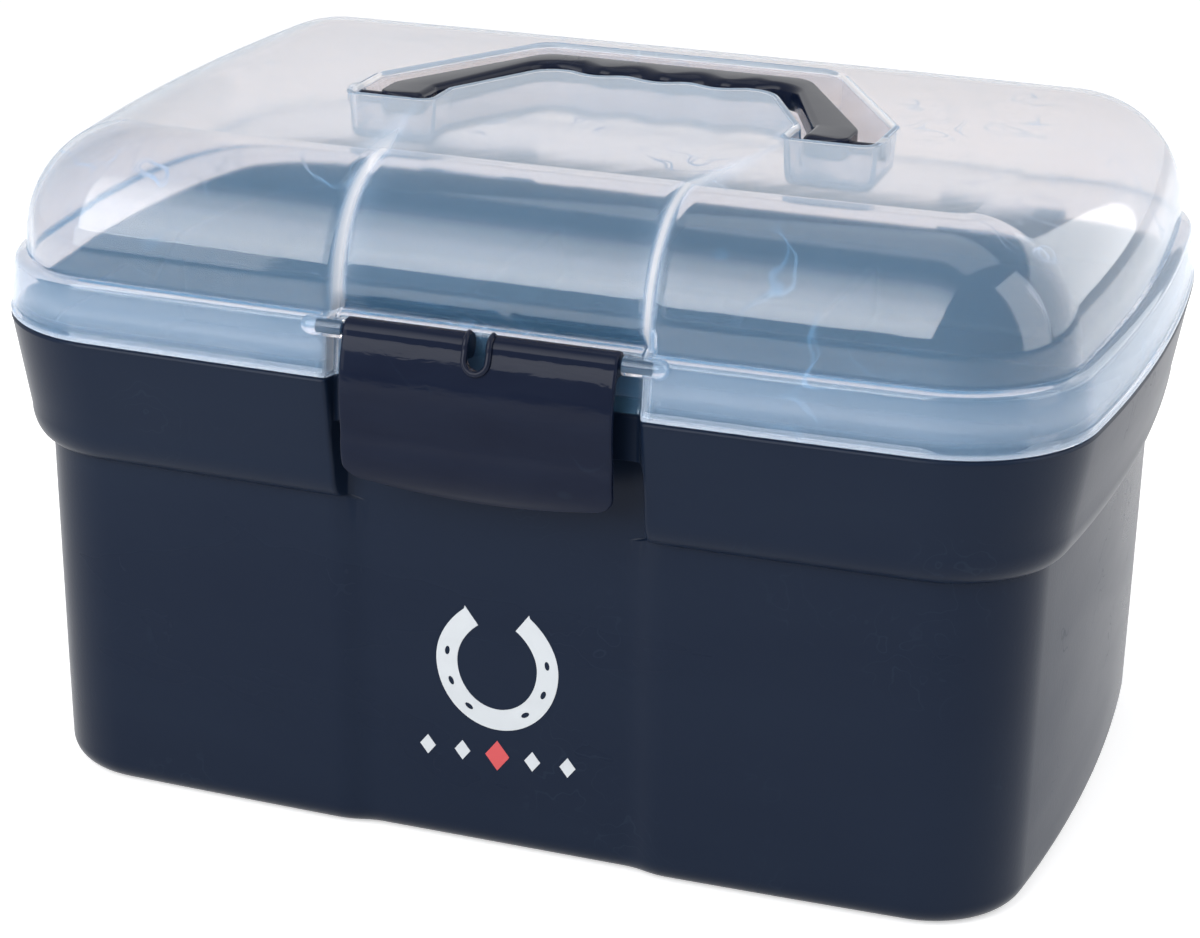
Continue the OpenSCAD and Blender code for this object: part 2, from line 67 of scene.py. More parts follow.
# How far the corners of a recess are softened in the wall, the collar's gap, the dome and the tray
WALL_SOFT, GAP_SOFT, DOME_SOFT, TRAY_SOFT = 0.004, 0.0018, 0.0022, 0.0012

# Radii in plan of the handle's legs, knees and heels, and of the pocket's corners
LEG_RADIUS, KNEE_RADIUS, HEEL_RADIUS, POCKET_RADIUS = 0.012, 0.014, 0.006, 0.004

# Room in the pocket behind the grip, before the feet, beside them and at their bends, how far its
# back corners lie inside the feet's outer sides, and the radius of its edge inside the lid
POCKET_BACK, POCKET_FRONT, POCKET_SIDE, POCKET_BEND = 0.015, 0.003, 0.009, 0.010
POCKET_SPLAY, POCKET_INNER_EDGE = 0.030, 0.0010

# The pocket's part of the lid: half width, front and back
POCKET_AREA = 0.102, -0.03, 0.088

# Rings up the tub's wall, and rises over the tray's ledge with the wall's inset there
WALL_LEVELS = 0.04, 0.08, 0.11
LEDGE_STEPS = (0.003, 0.0096), (0.0009, 0.0102), (0.0, 0.0111)

# Rings below and above the collar's foot, and share of the fillet that sinks the first of its edge
UNDER_COLLAR, ON_COLLAR, FILLET_SHARE = 0.0016, 0.017, 0.2

# Gussets of the tub's knuckles: drop below the axis at their tip and root, and play at their ends
GUSSET_TIP, GUSSET_ROOT, GUSSET_PLAY = 0.002, 0.0008, 0.0002

# Webs of the lid's knuckles: underside over the axis, tip before it, fall and rise of the upper
# side from the knuckle's top, and play at their ends
WEB_UNDER, WEB_TIP, WEB_FALL, WEB_RISE, WEB_PLAY = 0.001, 0.002, 0.0008, 0.001, 0.0004

# Rings over the lid's lip: rise and outset of the neck, and rise of the skirt's foot
NECK_RISE, NECK_OUT, SKIRT_FOOT = 0.0006, 0.0001, 0.002

# Ring of the lid's skirt between its foot and its top, and lower edge of the latch's hook
SKIRT_MIDDLE, HOOK_Z = 0.184, 0.150

# Softened edges of small blocks, of knuckles and hook, of the tray's rim and of the handle's stubs
BLOCK_EDGE, KNUCKLE_EDGE, TRAY_EDGE, STUB_EDGE = 0.0005, 0.0006, 0.0005, 0.0004

# Rounded nose of a latch boss: distance from its end and share of its radius
BOSS_NOSE = (0.0028, 1.0), (0.0015, 0.88), (0.0005, 0.62), (0.0, 0.25)

# Bosses round the handle's stubs and stub pins of the latch: distance along them and radius
SOCKET_PROFILE, SOCKET_OUT = ((0, 0.0046), (0.0026, 0.0046), (0.0032, 0.0040)), 0.0098
PIN_PROFILE, PIN_IN = ((0, 0.0016), (0.0116, 0.0016), (0.0119, 0.0012)), 0.001

# Slope and height of the latch's hook, its gap to the catch, and reach of the handle's stubs
HOOK_SLOPE, HOOK_HEIGHT, HOOK_GAP, STUB_REACH = 0.002, 0.004, 0.0005, 0.012

# Room of the knife that cuts the slot, over the latch and to its front and back
KNIFE_OVER, KNIFE_REACH = 0.004, 0.02

# Path of the slot's bead, outside the slot and before the latch's face, and edge of the long divider
BEAD_RIM, BEAD_PROUD, DIVIDER_EDGE = 0.0004, 0.0002, 0.0002

# How far the print is sunk into the wall, and sizes of its white diamonds and of the middle one
PRINT_SUNK, SIDE_SHARE, MIDDLE_SHARE = 0.00002, 0.82, 1.25

# Painted highlights of the lid: shares of whiter bloom painted on its bosses, pocket brim, pocket, flanks,
# lip and skirt in place of light that the thick moulding gathers, and the reach of the painted flank
# highlights
BOSS_PAINTED_HIGHLIGHT, BRIM_PAINTED_HIGHLIGHT, POCKET_PAINTED_HIGHLIGHT = 0.6, 0.6, 0.18
FLANK_PAINTED_HIGHLIGHT, LIP_PAINTED_HIGHLIGHT, SKIRT_PAINTED_HIGHLIGHT, FLANK_REACH = 0.7, 0.40, 0.24, 0.0032

# Margins of the painted highlights: beside the gap, under the lid's top and under the wall of its top
GAP_MARGIN, TOP_MARGIN, WALL_MARGIN = 0.0004, 0.00001, 0.0003

# Soft boxes: name, degrees round the box and over the floor, distance, width, height, power
LAMP_AIM = Vector((0, 0, 0.20))
LAMPS = (
    ("front", -23, 38, 1.50, 1.35, 1.56, 40.0),
    ("front_left", -38, 4, 1.30, 0.50, 0.32, 1.0),
    ("right_corner", 84, 24, 1.50, 0.75, 1.50, 9.0),
    ("right_wall", 128, 20, 1.80, 2.00, 1.40, 14.5),
    ("overhead", 150, 84, 1.80, 1.40, 1.00, 5.0),
)

# Brightness of a graded soft box at shares of its height
FADES = {"front": ((0.0, 0.85), (0.16, 1.0), (0.42, 0.82), (0.66, 0.48), (0.82, 0.25), (0.87, 0.08),
                   (1.0, 0.05))}

# What the lid lets through to its shadow, and the darker streaks of the steel
LID_SHADE, DARK_STEEL = (0.86, 0.87, 0.88, 1), (0.40, 0.40, 0.42)

# Two pale colours of the floor, and how much it shines by itself as a background
FLOOR_PALE, FLOOR_SHADE, FLOOR_LIFT = (0.90, 0.90, 0.905), (0.88, 0.88, 0.885), 0.45


def length(label, text, default):
    """A length that a user may change."""
    return FloatProperty(name=label, description=text, default=default, unit="LENGTH", precision=5)


def tint(label, text, default):
    """A colour that a user may change."""
    return FloatVectorProperty(name=label, description=text, default=default, subtype="COLOR",
                               size=3, min=0, max=1)


def share(label, text, default):
    """A share from nothing to all."""
    return FloatProperty(name=label, description=text, default=default, subtype="FACTOR", min=0, max=1)


class PlanSizes(bpy.types.PropertyGroup):
    """Outline of the box seen from above"""
    width: length("Width", "Width over the rim", LID_HIGH.x - LID_LOW.x)
    depth: length("Depth", "Depth over the rim", 0.268)
    corner: length("Corner", "Plan radius of the rim's corners", 0.050)
    front_bow: length("Front crown", "Crown of the front and the back", 0.002)
    side_bow: length("End crown", "Crown of the two ends", 0.0045)
    gap: length("Collar gap", "Half width of the gap in the collar", 0.054)
    gap_step: length("Gap flank", "Width of the gap's flanks", 0.0016)
    recess: length("Recess", "Half width of the recess floor below the collar", 0.049)
    recess_step: length("Recess flank", "Width of the soft flanks below the collar", 0.009)
    recess_depth: length("Recess depth", "Depth of the recess below the collar", 0.003)
    rim_recess: length("Rim recess", "Depth of the recess at the rim and the skirt", 0.0062)


class TubSizes(bpy.types.PropertyGroup):
    """Tub with its collar, rim and ledge"""
    rim: length("Rim", "Height of the rim", RIM)
    wall: length("Wall", "Wall of the tub", 0.0024)
    floor: length("Bottom", "Thickness of the bottom", 0.0028)
    inset: length("Inset", "How far the wall lies inside the rim", 0.0128)
    draft: length("Draft", "Draft of the wall from collar to bottom", 0.0016)
    bottom_edge: length("Bottom edge", "Radius of the bottom edge", 0.0085)
    collar: length("Collar", "Height of the collar", 0.046)
    collar_lean: length("Collar lean", "How far the collar leans in at its foot", 0.0056)
    collar_edge: length("Collar edge", "Radius of the collar's lower edge", 0.012)
    foot_fillet: length("Collar fillet", "Fillet between wall and collar", 0.0014)
    tongue: length("Tongue", "Height of the tongue on the rim", TUB_HIGH.z - RIM)
    tongue_in: length("Tongue inset", "Inset of the tongue from the rim", 0.0035)
    tongue_wall: length("Tongue wall", "Thickness of the tongue", 0.0016)
    catch: length("Catch", "Depth of the catch under the rim", 0.016)
    catch_slope: length("Catch slope", "Height of the catch's lower slope", 0.004)
    ledge: length("Ledge", "Height of the ledge for the tray", 0.1316)


class LidSizes(bpy.types.PropertyGroup):
    """Domed lid with its skirt and the handle's pocket"""
    foot: length("Foot", "Height of the lid's lower edge", 0.1743)
    top: length("Top", "Height of the lid's top", LID_HIGH.z)
    wall: length("Wall", "Wall of the lid", 0.002)
    lip: length("Lip height", "Height of the lip at the foot", 0.002)
    lip_out: length("Lip", "How far the lip stands out", 0.0008)
    skirt_top: length("Skirt top", "Height of the skirt's top", 0.192)
    skirt_lean: length("Skirt lean", "Inset at the skirt's top", 0.0022)
    shoulder: length("Shoulder", "Height of the rounded shoulder", 0.004)
    step: length("Step", "Inset at the dome's foot", 0.0064)
    dome_in: length("Dome inset", "Inset of the dome's foot", 0.0068)
    dome_radius: length("Dome radius", "Radius of the dome's edge", 0.040)
    dome_recess: length("Dome recess", "Depth of the recess in the dome", 0.0036)
    dome_floor: length("Recess floor", "Half width of the recess in the dome", 0.052)
    dome_ramp: length("Recess flank", "Width of the recess flanks in the dome", 0.005)
    pocket_floor: length("Pocket floor", "Height of the pocket's floor", 0.224)
    pocket_edge: length("Pocket edge", "Radius of the pocket's upper edge", 0.0016)
    pocket_draft: length("Pocket draft", "Draft of the pocket's wall", 0.0008)
    pocket_fillet: length("Pocket fillet", "Fillet round the pocket's floor", 0.0025)
    boss: length("Latch boss", "Radius of the bosses beside the latch", 0.0034)
    boss_length: length("Boss length", "Length of the bosses beside the latch", 0.0104)
    boss_reach: length("Boss reach", "How far the bosses reach in to the latch", 0.0052)


class LatchSizes(bpy.types.PropertyGroup):
    """Snap latch"""
    width: length("Width", "Width of the latch", 0.096)
    y: length("Axis Y", "Y of the latch's axis", -0.1312)
    z: length("Axis Z", "Height of the latch's axis", 0.192)
    roll: length("Roll", "Radius of the roll round the axis", 0.0044)
    drop: length("Drop", "Height from the axis to the lower edge", 0.054)
    plate: length("Plate", "Thickness of the plate", 0.0026)
    bulge: length("Bulge", "How far the plate stands out at its bend", 0.003)
    bend: share("Bend", "Where down the plate its bend lies", 0.62)
    tuck: length("Tuck", "How far the lower edge tucks in", 0.0022)
    swell: length("Upper swell", "Swell of the upper panel", 0.0025)
    turn: length("Lower swell", "Swell of the lower panel", 0.0024)
    sag: length("Sag", "Sag of the lower edge", 0.0036)
    corner: length("Corner", "Width of the rounded lower corners", 0.009)
    flank: length("Flank", "Height of the rounded lower corners", 0.007)
    edge: length("Edge", "Radius of the side edges", 0.0008)
    slot: length("Slot", "Width of the slot in the top edge", 0.0076)
    slot_depth: length("Slot depth", "Depth of the slot", 0.0114)
    bead: length("Bead", "Radius of the bead round the slot", 0.0011)


class HandleSizes(bpy.types.PropertyGroup):
    """Folding handle with finger hollows"""
    foot: length("Foot", "Half width over the feet", 0.088)
    foot_width: length("Foot width", "Width of each foot", 0.017)
    pivot_y: length("Pivot Y", "Y of the pivot", -0.007)
    nose: length("Nose", "From the pivot to the foot's end", 0.0065)
    nose_radius: length("Nose radius", "Radius of the foot's corners", 0.0045)
    reach: length("Reach", "From the pivot to the back of the grip", 0.072)
    thick: length("Thickness", "Thickness of the handle", HANDLE_HIGH.z - HANDLE_LOW.z)
    grip: length("Grip", "Depth of the grip over its crests", 0.015)
    pitch: length("Finger pitch", "Spacing of the finger hollows", 0.024)
    hollow: length("Finger hollow", "Depth of the finger hollows", 0.0034)
    grip_bow: length("Grip bow", "Bow of the wavy edge", 0.0006)
    foot_length: length("Foot length", "From the pivot to the bend", 0.009)
    splay: length("Splay", "How far the legs lean in", 0.036)
    knee: length("Knee", "From the last hollow to the knee", 0.013)
    edge: length("Edge", "Radius of the handle's edges", 0.003)
    crisp: length("Crisp edge", "Radius of the outer edge on top", 0.0009)
    scoop: length("Scoop", "How far the hollows' upper edges are scooped back", 0.003)
    scoop_drop: length("Scoop drop", "How far the scooped edges reach down", 0.0012)
    pivot: length("Pivot", "Radius of the pivot stubs", 0.003)
    leg_gap: length("Leg gap", "Gap between the legs and the pocket's edge", 0.004)
    grip_gap: length("Grip gap", "Finger room before the grip", 0.010)


class TraySizes(bpy.types.PropertyGroup):
    """Lift-out tray"""
    low: length("Low", "Height of the tray's bottom", 0.1319)
    height: length("Height", "Height of the tray", 0.034)
    wall: length("Wall", "Wall of the tray", 0.0018)
    inset: length("Inset", "Inset of the tray's rim", 0.0108)
    edge: length("Edge", "Radius of the tray's bottom edge", 0.003)
    draft: length("Draft", "Draft of the tray's wall", 0.001)
    floor_in: length("Front notch", "Inset of the wall behind the recess", 0.0212)
    side_step: length("Notch flank", "How far the notch reaches past the gap", 0.0063)
    divider: length("Divider", "Height of the dividers", 0.024)
    divider_x: length("Divider X", "Place of the two short dividers", 0.066)
    divider_y: length("Divider Y", "Place of the long divider", 0.022)
    notch: length("Finger notch", "Width of the finger notches", 0.044)
    notch_depth: length("Notch depth", "Depth of the finger notches", 0.014)


class HingeSizes(bpy.types.PropertyGroup):
    """Knuckles on the back"""
    x: length("X", "Distance of each hinge from the middle", 0.110)
    y: length("Y", "Y of the hinge axis", 0.141)
    z: length("Z", "Height of the hinge axis", RIM)
    knuckle: length("Knuckle", "Outer radius of the knuckles", 0.005)
    bore: length("Bore", "Radius of the bores", 0.00155)
    lid_length: length("Lid knuckle", "Length of the lid's knuckle", 0.024)
    tub_length: length("Tub knuckle", "Length of each of the tub's knuckles", 0.012)
    gap: length("Gap", "Gap between knuckles", 0.0004)
    gusset: length("Gusset", "Height of the gussets under the knuckles", 0.015)


class PrintSizes(bpy.types.PropertyGroup):
    """Printed emblem on the front"""
    z: length("Height", "Height of the emblem's middle", 0.066)
    shoe_width: length("Shoe width", "Half width of the horseshoe", 0.0225)
    shoe_height: length("Shoe height", "Half height of the horseshoe", 0.0245)
    shoe_band: length("Shoe band", "Width of the horseshoe's band", 0.0078)
    diamond: length("Diamond", "Half height that the diamonds' sizes follow", 0.0046)
    spacing: length("Spacing", "Spacing of the diamonds", 0.0130)
    film: length("Film", "Thickness of the print", 0.00012)
    count: IntProperty(name="Diamonds", description="White diamonds on each side", default=2, min=1, max=4)


class Finishes(bpy.types.PropertyGroup):
    """Colours of the mouldings and the print"""
    navy: tint("Navy", "Tub and tray", (0.0047, 0.0101, 0.0250))
    navy_worn: tint("Worn navy", "Scuffed places on the tub", (0.012, 0.021, 0.039))
    gloss: tint("Gloss navy", "Latch and handle", (0.0040, 0.0072, 0.020))
    # Painted sheen and wear: a lighter navy that the latch takes in soft patches, partly in place of
    # reflected light and partly for wear by hands
    wear_and_sheen: tint("Hazed navy", "Latch where hands have dulled it", (0.012, 0.019, 0.040))
    haze: tint("Haze", "Milky bloom of the lid", (0.22, 0.57, 1.0))
    clear: tint("Clear", "What the lid lets through", (0.905, 0.81, 0.75))
    haze_share: share("Milkiness", "Share of the milky bloom", 0.079)
    # Painted highlight: colour and share of the whiter bloom painted on the lid's edges, flanks, lip,
    # skirt, pocket and bosses
    edge: tint("Edge glow", "Bright edges of the lid", (0.90, 0.90, 0.92))
    painted_edge_share: share("Edge brightness", "Share of the bright edges", 0.45)
    ink_white: tint("White ink", "White of the print", (0.52, 0.55, 0.58))
    ink_coral: tint("Coral ink", "Coral of the print", (0.52, 0.072, 0.078))
    steel: tint("Steel", "Hinge pins", (0.58, 0.58, 0.60))


class StageSizes(bpy.types.PropertyGroup):
    """Camera, lamps and floor"""
    azimuth: FloatProperty(name="Azimuth", description="Camera's angle round the box",
                           default=radians(19.58), subtype="ANGLE")
    elevation: FloatProperty(name="Elevation", description="Camera's angle over the floor",
                             default=radians(21.12), subtype="ANGLE")
    roll: FloatProperty(name="Roll", description="Camera's tilt", default=radians(0.83), subtype="ANGLE")
    distance: length("Distance", "Camera's distance from its target", 1.17875)
    target: FloatVectorProperty(name="Target", description="Where the camera looks",
                                default=(-0.00534, 0.0, 0.10142), subtype="XYZ_LENGTH")
    lens: FloatProperty(name="Lens", description="Focal length in millimetres", default=94.81,
                        subtype="DISTANCE_CAMERA")
    floor: length("Floor", "Half side of the floor", 6.0)
    glow: share("Room light", "Light of the white room", 0.34)


class GroomingBox(bpy.types.PropertyGroup):
    """All settings of the grooming box"""
    plan: PointerProperty(type=PlanSizes)
    tub: PointerProperty(type=TubSizes)
    lid: PointerProperty(type=LidSizes)
    latch: PointerProperty(type=LatchSizes)
    handle: PointerProperty(type=HandleSizes)
    tray: PointerProperty(type=TraySizes)
    hinge: PointerProperty(type=HingeSizes)
    emblem: PointerProperty(type=PrintSizes)
    finish: PointerProperty(type=Finishes)
    stage: PointerProperty(type=StageSizes)


def settings():
    """The settings of this scene's box."""
    return bpy.context.scene.grooming_box


# Outlines


def bowed(half, bow):
    """Radius of a side that is crowned by a bow over twice a half length."""
    return (half * half + bow * bow) / (2 * bow)


def soft_corner(corner, before, after, reach, count):
    """A corner between two directions, softened over a reach on both sides."""
    a, c = corner - before * reach, corner + after * reach
    return [a * (1 - t) ** 2 + corner * 2 * t * (1 - t) + c * t * t
            for t in (k / count for k in range(count + 1))]


class Crown:
    """The box's crowned plan outline at an inset from the rim."""

    def __init__(self, plan, inset):
        self.width, self.depth = plan.width / 2 - inset, plan.depth / 2 - inset
        self.radius = max(plan.corner - inset, LEAST_RADIUS)
        self.cx = self.width - plan.side_bow - self.radius
        self.cy = self.depth - plan.front_bow - self.radius
        self.front = bowed(self.cx, plan.front_bow) + self.radius
        self.side = bowed(self.cy, plan.side_bow) + self.radius

    def back(self, x):
        return self.depth - self.front + sqrt(self.front ** 2 - x * x)

    def end(self, y):
        return self.width - self.side + sqrt(self.side ** 2 - y * y)

    def half(self, depth, floor_x, ramp_x, soft):
        """Right half from the middle of the front to the middle of the back. The recess floor
        lies a depth behind the front, and a flank leads from it out to the front."""
        front = asin(self.cx / (self.front - self.radius))
        side = asin(self.cy / (self.side - self.radius))
        foot = Vector((floor_x, depth - self.depth))
        brow = Vector((ramp_x, -self.back(ramp_x)))
        rise = (brow - foot).normalized()
        along = Vector((1, ramp_x / sqrt(self.front ** 2 - ramp_x ** 2))).normalized()
        reach = min(soft, (brow - foot).length * 0.48)
        points = [Vector(((floor_x - reach) * k / FLOOR_N, foot.y)) for k in range(FLOOR_N)]
        points += soft_corner(foot, Vector((1, 0)), rise, reach, RAMP_N)
        points += soft_corner(brow, rise, along, reach, RAMP_N)
        start = asin(points[-1].x / self.front)
        for k in range(1, FRONT_N):
            x = self.front * sin(start + (front - start) * k / FRONT_N)
            points.append(Vector((x, -self.back(x))))
        turn = [front + (pi / 2 - side - front) * k / CORNER_N for k in range(CORNER_N + 1)]
        points += [Vector((self.cx + self.radius * sin(a), -self.cy - self.radius * cos(a))) for a in turn]
        for k in range(1, SIDE_N):
            a = side * (2 * k / SIDE_N - 1)
            points.append(Vector((self.width - self.side * (1 - cos(a)), self.side * sin(a))))
        points += [Vector((self.cx + self.radius * sin(a), self.cy + self.radius * cos(a)))
                   for a in reversed(turn)]
        for k in range(FRONT_N - 1, -1, -1):
            x = self.front * sin(front * k / FRONT_N)
            points.append(Vector((x, self.back(x))))
        return points


def ring(plan, z, inset, depth, floor_x, ramp_x, soft):
    """Closed ring of points at a height."""
    half = Crown(plan, inset).half(depth, floor_x, ramp_x, soft)
    left = [Vector((-p.x, p.y)) for p in reversed(half[1:-1])]
    return [Vector((p.x, p.y, z)) for p in half + left]


def wall_ring(plan, z, inset, wall=0.0):
    """Ring of the wall below the collar, with its soft recess."""
    foot = plan.recess + wall
    return ring(plan, z, inset, plan.recess_depth, foot, foot + plan.recess_step, WALL_SOFT)


def gap_ring(plan, z, inset, floor_in, wall=0.0):
    """Ring through the gap in the collar, with the gap's floor at its own inset."""
    foot = plan.gap + wall
    return ring(plan, z, inset, floor_in - inset, foot, foot + plan.gap_step, GAP_SOFT)


def dome_ring(plan, lid, z, inset, wall=0.0):
    """Ring of the dome, with its shallow recess."""
    foot = lid.dome_floor + wall
    return ring(plan, z, inset, lid.dome_recess, foot, foot + lid.dome_ramp, DOME_SOFT)


def quarter(count):
    """Angles of a quarter turn."""
    return [pi / 2 * k / count for k in range(count + 1)]


def rounded(path, radii):
    """Closed path with each corner turned into an arc of its radius, or left sharp at zero."""
    points = []
    for i, p in enumerate(path):
        if radii[i] == 0:
            points.append(p)
            continue
        to_last = (path[i - 1] - p).normalized()
        to_next = (path[(i + 1) % len(path)] - p).normalized()
        angle = to_last.angle(to_next)
        middle = p + (to_last + to_next).normalized() * radii[i] / sin(angle / 2)
        start = p + to_last * radii[i] / tan(angle / 2) - middle
        turn = (pi - angle) * (1 if to_next.x * to_last.y - to_next.y * to_last.x > 0 else -1)
        for k in range(TURN_N + 1):
            a = turn * k / TURN_N
            points.append(middle + Vector((start.x * cos(a) - start.y * sin(a),
                                           start.x * sin(a) + start.y * cos(a))))
    return points


def outset(path, distance):
    """Closed path that runs anticlockwise, moved out by a distance."""
    moved = []
    for i, p in enumerate(path):
        before = (p - path[i - 1]).normalized()
        after = (path[(i + 1) % len(path)] - p).normalized()
        n1, n2 = Vector((before.y, -before.x)), Vector((after.y, -after.x))
        m = (n1 + n2).normalized()
        moved.append(p + m * distance / m.dot(n1))
    return moved


def flipped(path):
    """Path mirrored left to right and run the other way."""
    return [Vector((-p.x, p.y)) for p in reversed(path)]


def wavy_edge(h, gap):
    """Wavy inner edge of the grip from left to right, set forward by a gap."""
    front = h.pivot_y + h.reach - h.grip
    reach = 1.5 * h.pitch
    points = []
    for k in range(1 - 3 * WAVE_N, 3 * WAVE_N):
        x = reach * k / (3 * WAVE_N)
        wave = h.hollow * (1 - cos(2 * pi * x / h.pitch)) / 2 + h.grip_bow * (x / reach) ** 2
        points.append(Vector((x, front + wave - gap)))
    return points


def hoop(outer, outer_radii, back, front, inner, inner_radii):
    """Closed outline of a band: out along the right and the back, and home along the wavy edge."""
    path = outer + back + flipped(outer) + flipped(inner) + front + inner
    radii = (outer_radii + [0] * len(back) + outer_radii[::-1] + inner_radii[::-1]
             + [0] * len(front) + inner_radii)
    return rounded(path, radii)


def handle_outline(h):
    """Plan of the handle."""
    bend, back, end = h.pivot_y + h.foot_length, h.pivot_y + h.reach, h.pivot_y - h.nose
    hollow = back - h.grip + h.hollow + h.grip_bow
    inner_x = h.foot - h.foot_width
    outer = [Vector((h.foot, end)), Vector((h.foot, bend)), Vector((h.foot - h.splay, back))]
    inner = [Vector((1.5 * h.pitch + h.knee, hollow)), Vector((inner_x, bend)), Vector((inner_x, end))]
    wave = wavy_edge(h, 0)
    spine = [Vector((p.x, back)) for p in reversed(wave)]
    return hoop(outer, [h.nose_radius, LEG_RADIUS, LEG_RADIUS], spine, wave,
                inner, [KNEE_RADIUS, HEEL_RADIUS, h.nose_radius])


def pocket_outline(h):
    """Plan of the pocket that the handle folds into."""
    bend, end = h.pivot_y + h.foot_length, h.pivot_y - h.nose - POCKET_FRONT
    back = h.pivot_y + h.reach + POCKET_BACK
    hollow = h.pivot_y + h.reach - h.grip + h.hollow + h.grip_bow
    side, inner_x = h.foot + POCKET_SIDE, h.foot - h.foot_width - h.leg_gap
    outer = [Vector((side, end)), Vector((side, bend + POCKET_BEND)), Vector((h.foot - POCKET_SPLAY, back))]
    inner = [Vector((1.5 * h.pitch + h.knee - h.leg_gap, hollow - h.grip_gap)), Vector((inner_x, bend)),
             Vector((inner_x, end))]
    return hoop(outer, [POCKET_RADIUS, POCKET_RADIUS, LEG_RADIUS], [], wavy_edge(h, h.grip_gap),
                inner, [KNEE_RADIUS, HEEL_RADIUS, POCKET_RADIUS])


def turned_rings(profile, x, y, z, side=1):
    """Rings round an axis along X, from a profile of (distance along it, radius)."""
    turns = [2 * pi * k / ROUND_N for k in range(ROUND_N)]
    return [[Vector((x + side * along, y + radius * cos(a), z + radius * sin(a))) for a in turns]
            for along, radius in profile]


# Meshes


class Shell:
    """A mesh that is built up from rings of points."""

    def __init__(self, mesh=None):
        self.bm = bmesh.new()
        if mesh:
            self.bm.from_mesh(mesh)

    def loop(self, points):
        """Adds points."""
        return [self.bm.verts.new(p) for p in points]

    def skin(self, a, b):
        """Joins two loops by faces."""
        for k in range(len(a)):
            n = (k + 1) % len(a)
            self.bm.faces.new((a[k], a[n], b[n], b[k]))

    def loft(self, rings):
        """Skins rings in order and returns the first and the last loop."""
        loops = [self.loop(points) for points in rings]
        for a, b in zip(loops, loops[1:]):
            self.skin(a, b)
        return loops[0], loops[-1]

    def cap(self, loop):
        """Closes a loop by one face."""
        self.bm.faces.new(loop)

    def fill(self, *loops):
        """Fills the flat region between closed loops."""
        edges = [self.bm.edges.get((loop[k - 1], loop[k])) or self.bm.edges.new((loop[k - 1], loop[k]))
                 for loop in loops for k in range(len(loop))]
        bmesh.ops.triangle_fill(self.bm, edges=edges, use_beauty=True, use_dissolve=False)

    def solid(self, rings):
        """Closed solid through rings with flat ends."""
        first, last = self.loft(rings)
        self.cap(first)
        self.cap(last)

    def barrel(self, profile, x, y, z):
        """Closed barrel along X, whose profile starts and ends at its bore."""
        first, last = self.loft(turned_rings(profile, x, y, z))
        self.skin(last, first)

    def rod(self, profile, x, y, z, side):
        """Closed rod along X."""
        self.solid(turned_rings(profile, x, y, z, side))

    def block(self, profile, x, half, edge):
        """Profile in Y and Z drawn out along X, with its ends softened."""
        path = [Vector(p) for p in profile]
        area = sum(path[k - 1].x * p.y - p.x * path[k - 1].y for k, p in enumerate(path))
        path = path if area > 0 else path[::-1]
        steps = [(-half, -edge), (edge - half, 0), (half - edge, 0), (half, -edge)]
        self.solid([[Vector((x + along, p.x, p.y)) for p in outset(path, inset)]
                    for along, inset in steps])

    def outward(self):
        """Turns every closed run of faces to face out."""
        bmesh.ops.recalc_face_normals(self.bm, faces=self.bm.faces)
        unseen = set(self.bm.faces)
        while unseen:
            run, queue = [], [unseen.pop()]
            while queue:
                face = queue.pop()
                run.append(face)
                near = {other for edge in face.edges for other in edge.link_faces} & unseen
                unseen -= near
                queue += near
            volume = 0.0
            for face in run:
                a, *rest = [v.co for v in face.verts]
                volume += sum(a.dot(b.cross(c)) for b, c in zip(rest, rest[1:]))
            if volume < 0:
                bmesh.ops.reverse_faces(self.bm, faces=run)

    def mesh(self, name):
        """Ends the building and returns the mesh."""
        made = bpy.data.meshes.new(name)
        self.bm.to_mesh(made)
        self.bm.free()
        return made

    def helper(self, name):
        """Object that only helps to make another."""
        self.outward()
        return scratch_object(name, self.mesh(name))

    def piece(self, name, material, body, slot, *nodes, sharp=38, glow=None, painted_shade=None):
        """Makes the finished piece, which rides a body and stands for CAD nodes. A glow gives
        each point its share of painted edge highlight, and a painted shade test picks the faces
        that take the second of two finishes, a darker copy painted as shade."""
        self.outward()
        for face in self.bm.faces:
            face.smooth = True
            face.material_index = 1 if painted_shade and painted_shade(face.calc_center_median()) else 0
        # Painted highlight: each point's share of whiter bloom
        if glow:
            layer = self.bm.verts.layers.float.new("painted_edge_highlight")
            for vert in self.bm.verts:
                vert[layer] = glow(vert)
        for edge in self.bm.edges:
            edge.smooth = not (edge.is_manifold and edge.calc_face_angle(0) > radians(sharp))
        return seat(bpy.data.objects.new(name, self.mesh(name)), material, body, slot, *nodes)


def seat(piece, material, body, slot, *nodes):
    """Links a piece, gives it its finish and sets it on its body."""
    if piece.name not in bpy.context.scene.collection.objects:
        bpy.context.scene.collection.objects.link(piece)
    if material:
        piece.data.materials.clear()
        for finish in material if isinstance(material, tuple) else (material,):
            piece.data.materials.append(finish)
    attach(piece, body)
    if nodes:
        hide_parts(*nodes)
    return piece


# Finishes


def put(tree, kind, inputs=None, **attributes):
    """Adds a node, sets its attributes, and sets or links its inputs by name or number."""
    node = tree.nodes.new(kind)
    for key, value in attributes.items():
        setattr(node, key, value)
    for key, value in (inputs or {}).items():
        if isinstance(value, bpy.types.NodeSocket):
            tree.links.new(value, node.inputs[key])
        else:
            node.inputs[key].default_value = value
    return node


def math(tree, operation, a, b=0.0, clamp=False):
    """Works out one step on values."""
    node = put(tree, "ShaderNodeMath", {0: a, 1: b}, operation=operation, use_clamp=clamp)
    return node.outputs[0]


def plus(tree, a, b, clamp=False):
    """Sum of two values."""
    return math(tree, "ADD", a, b, clamp)


def times(tree, a, b, clamp=False):
    """Product of two values."""
    return math(tree, "MULTIPLY", a, b, clamp)


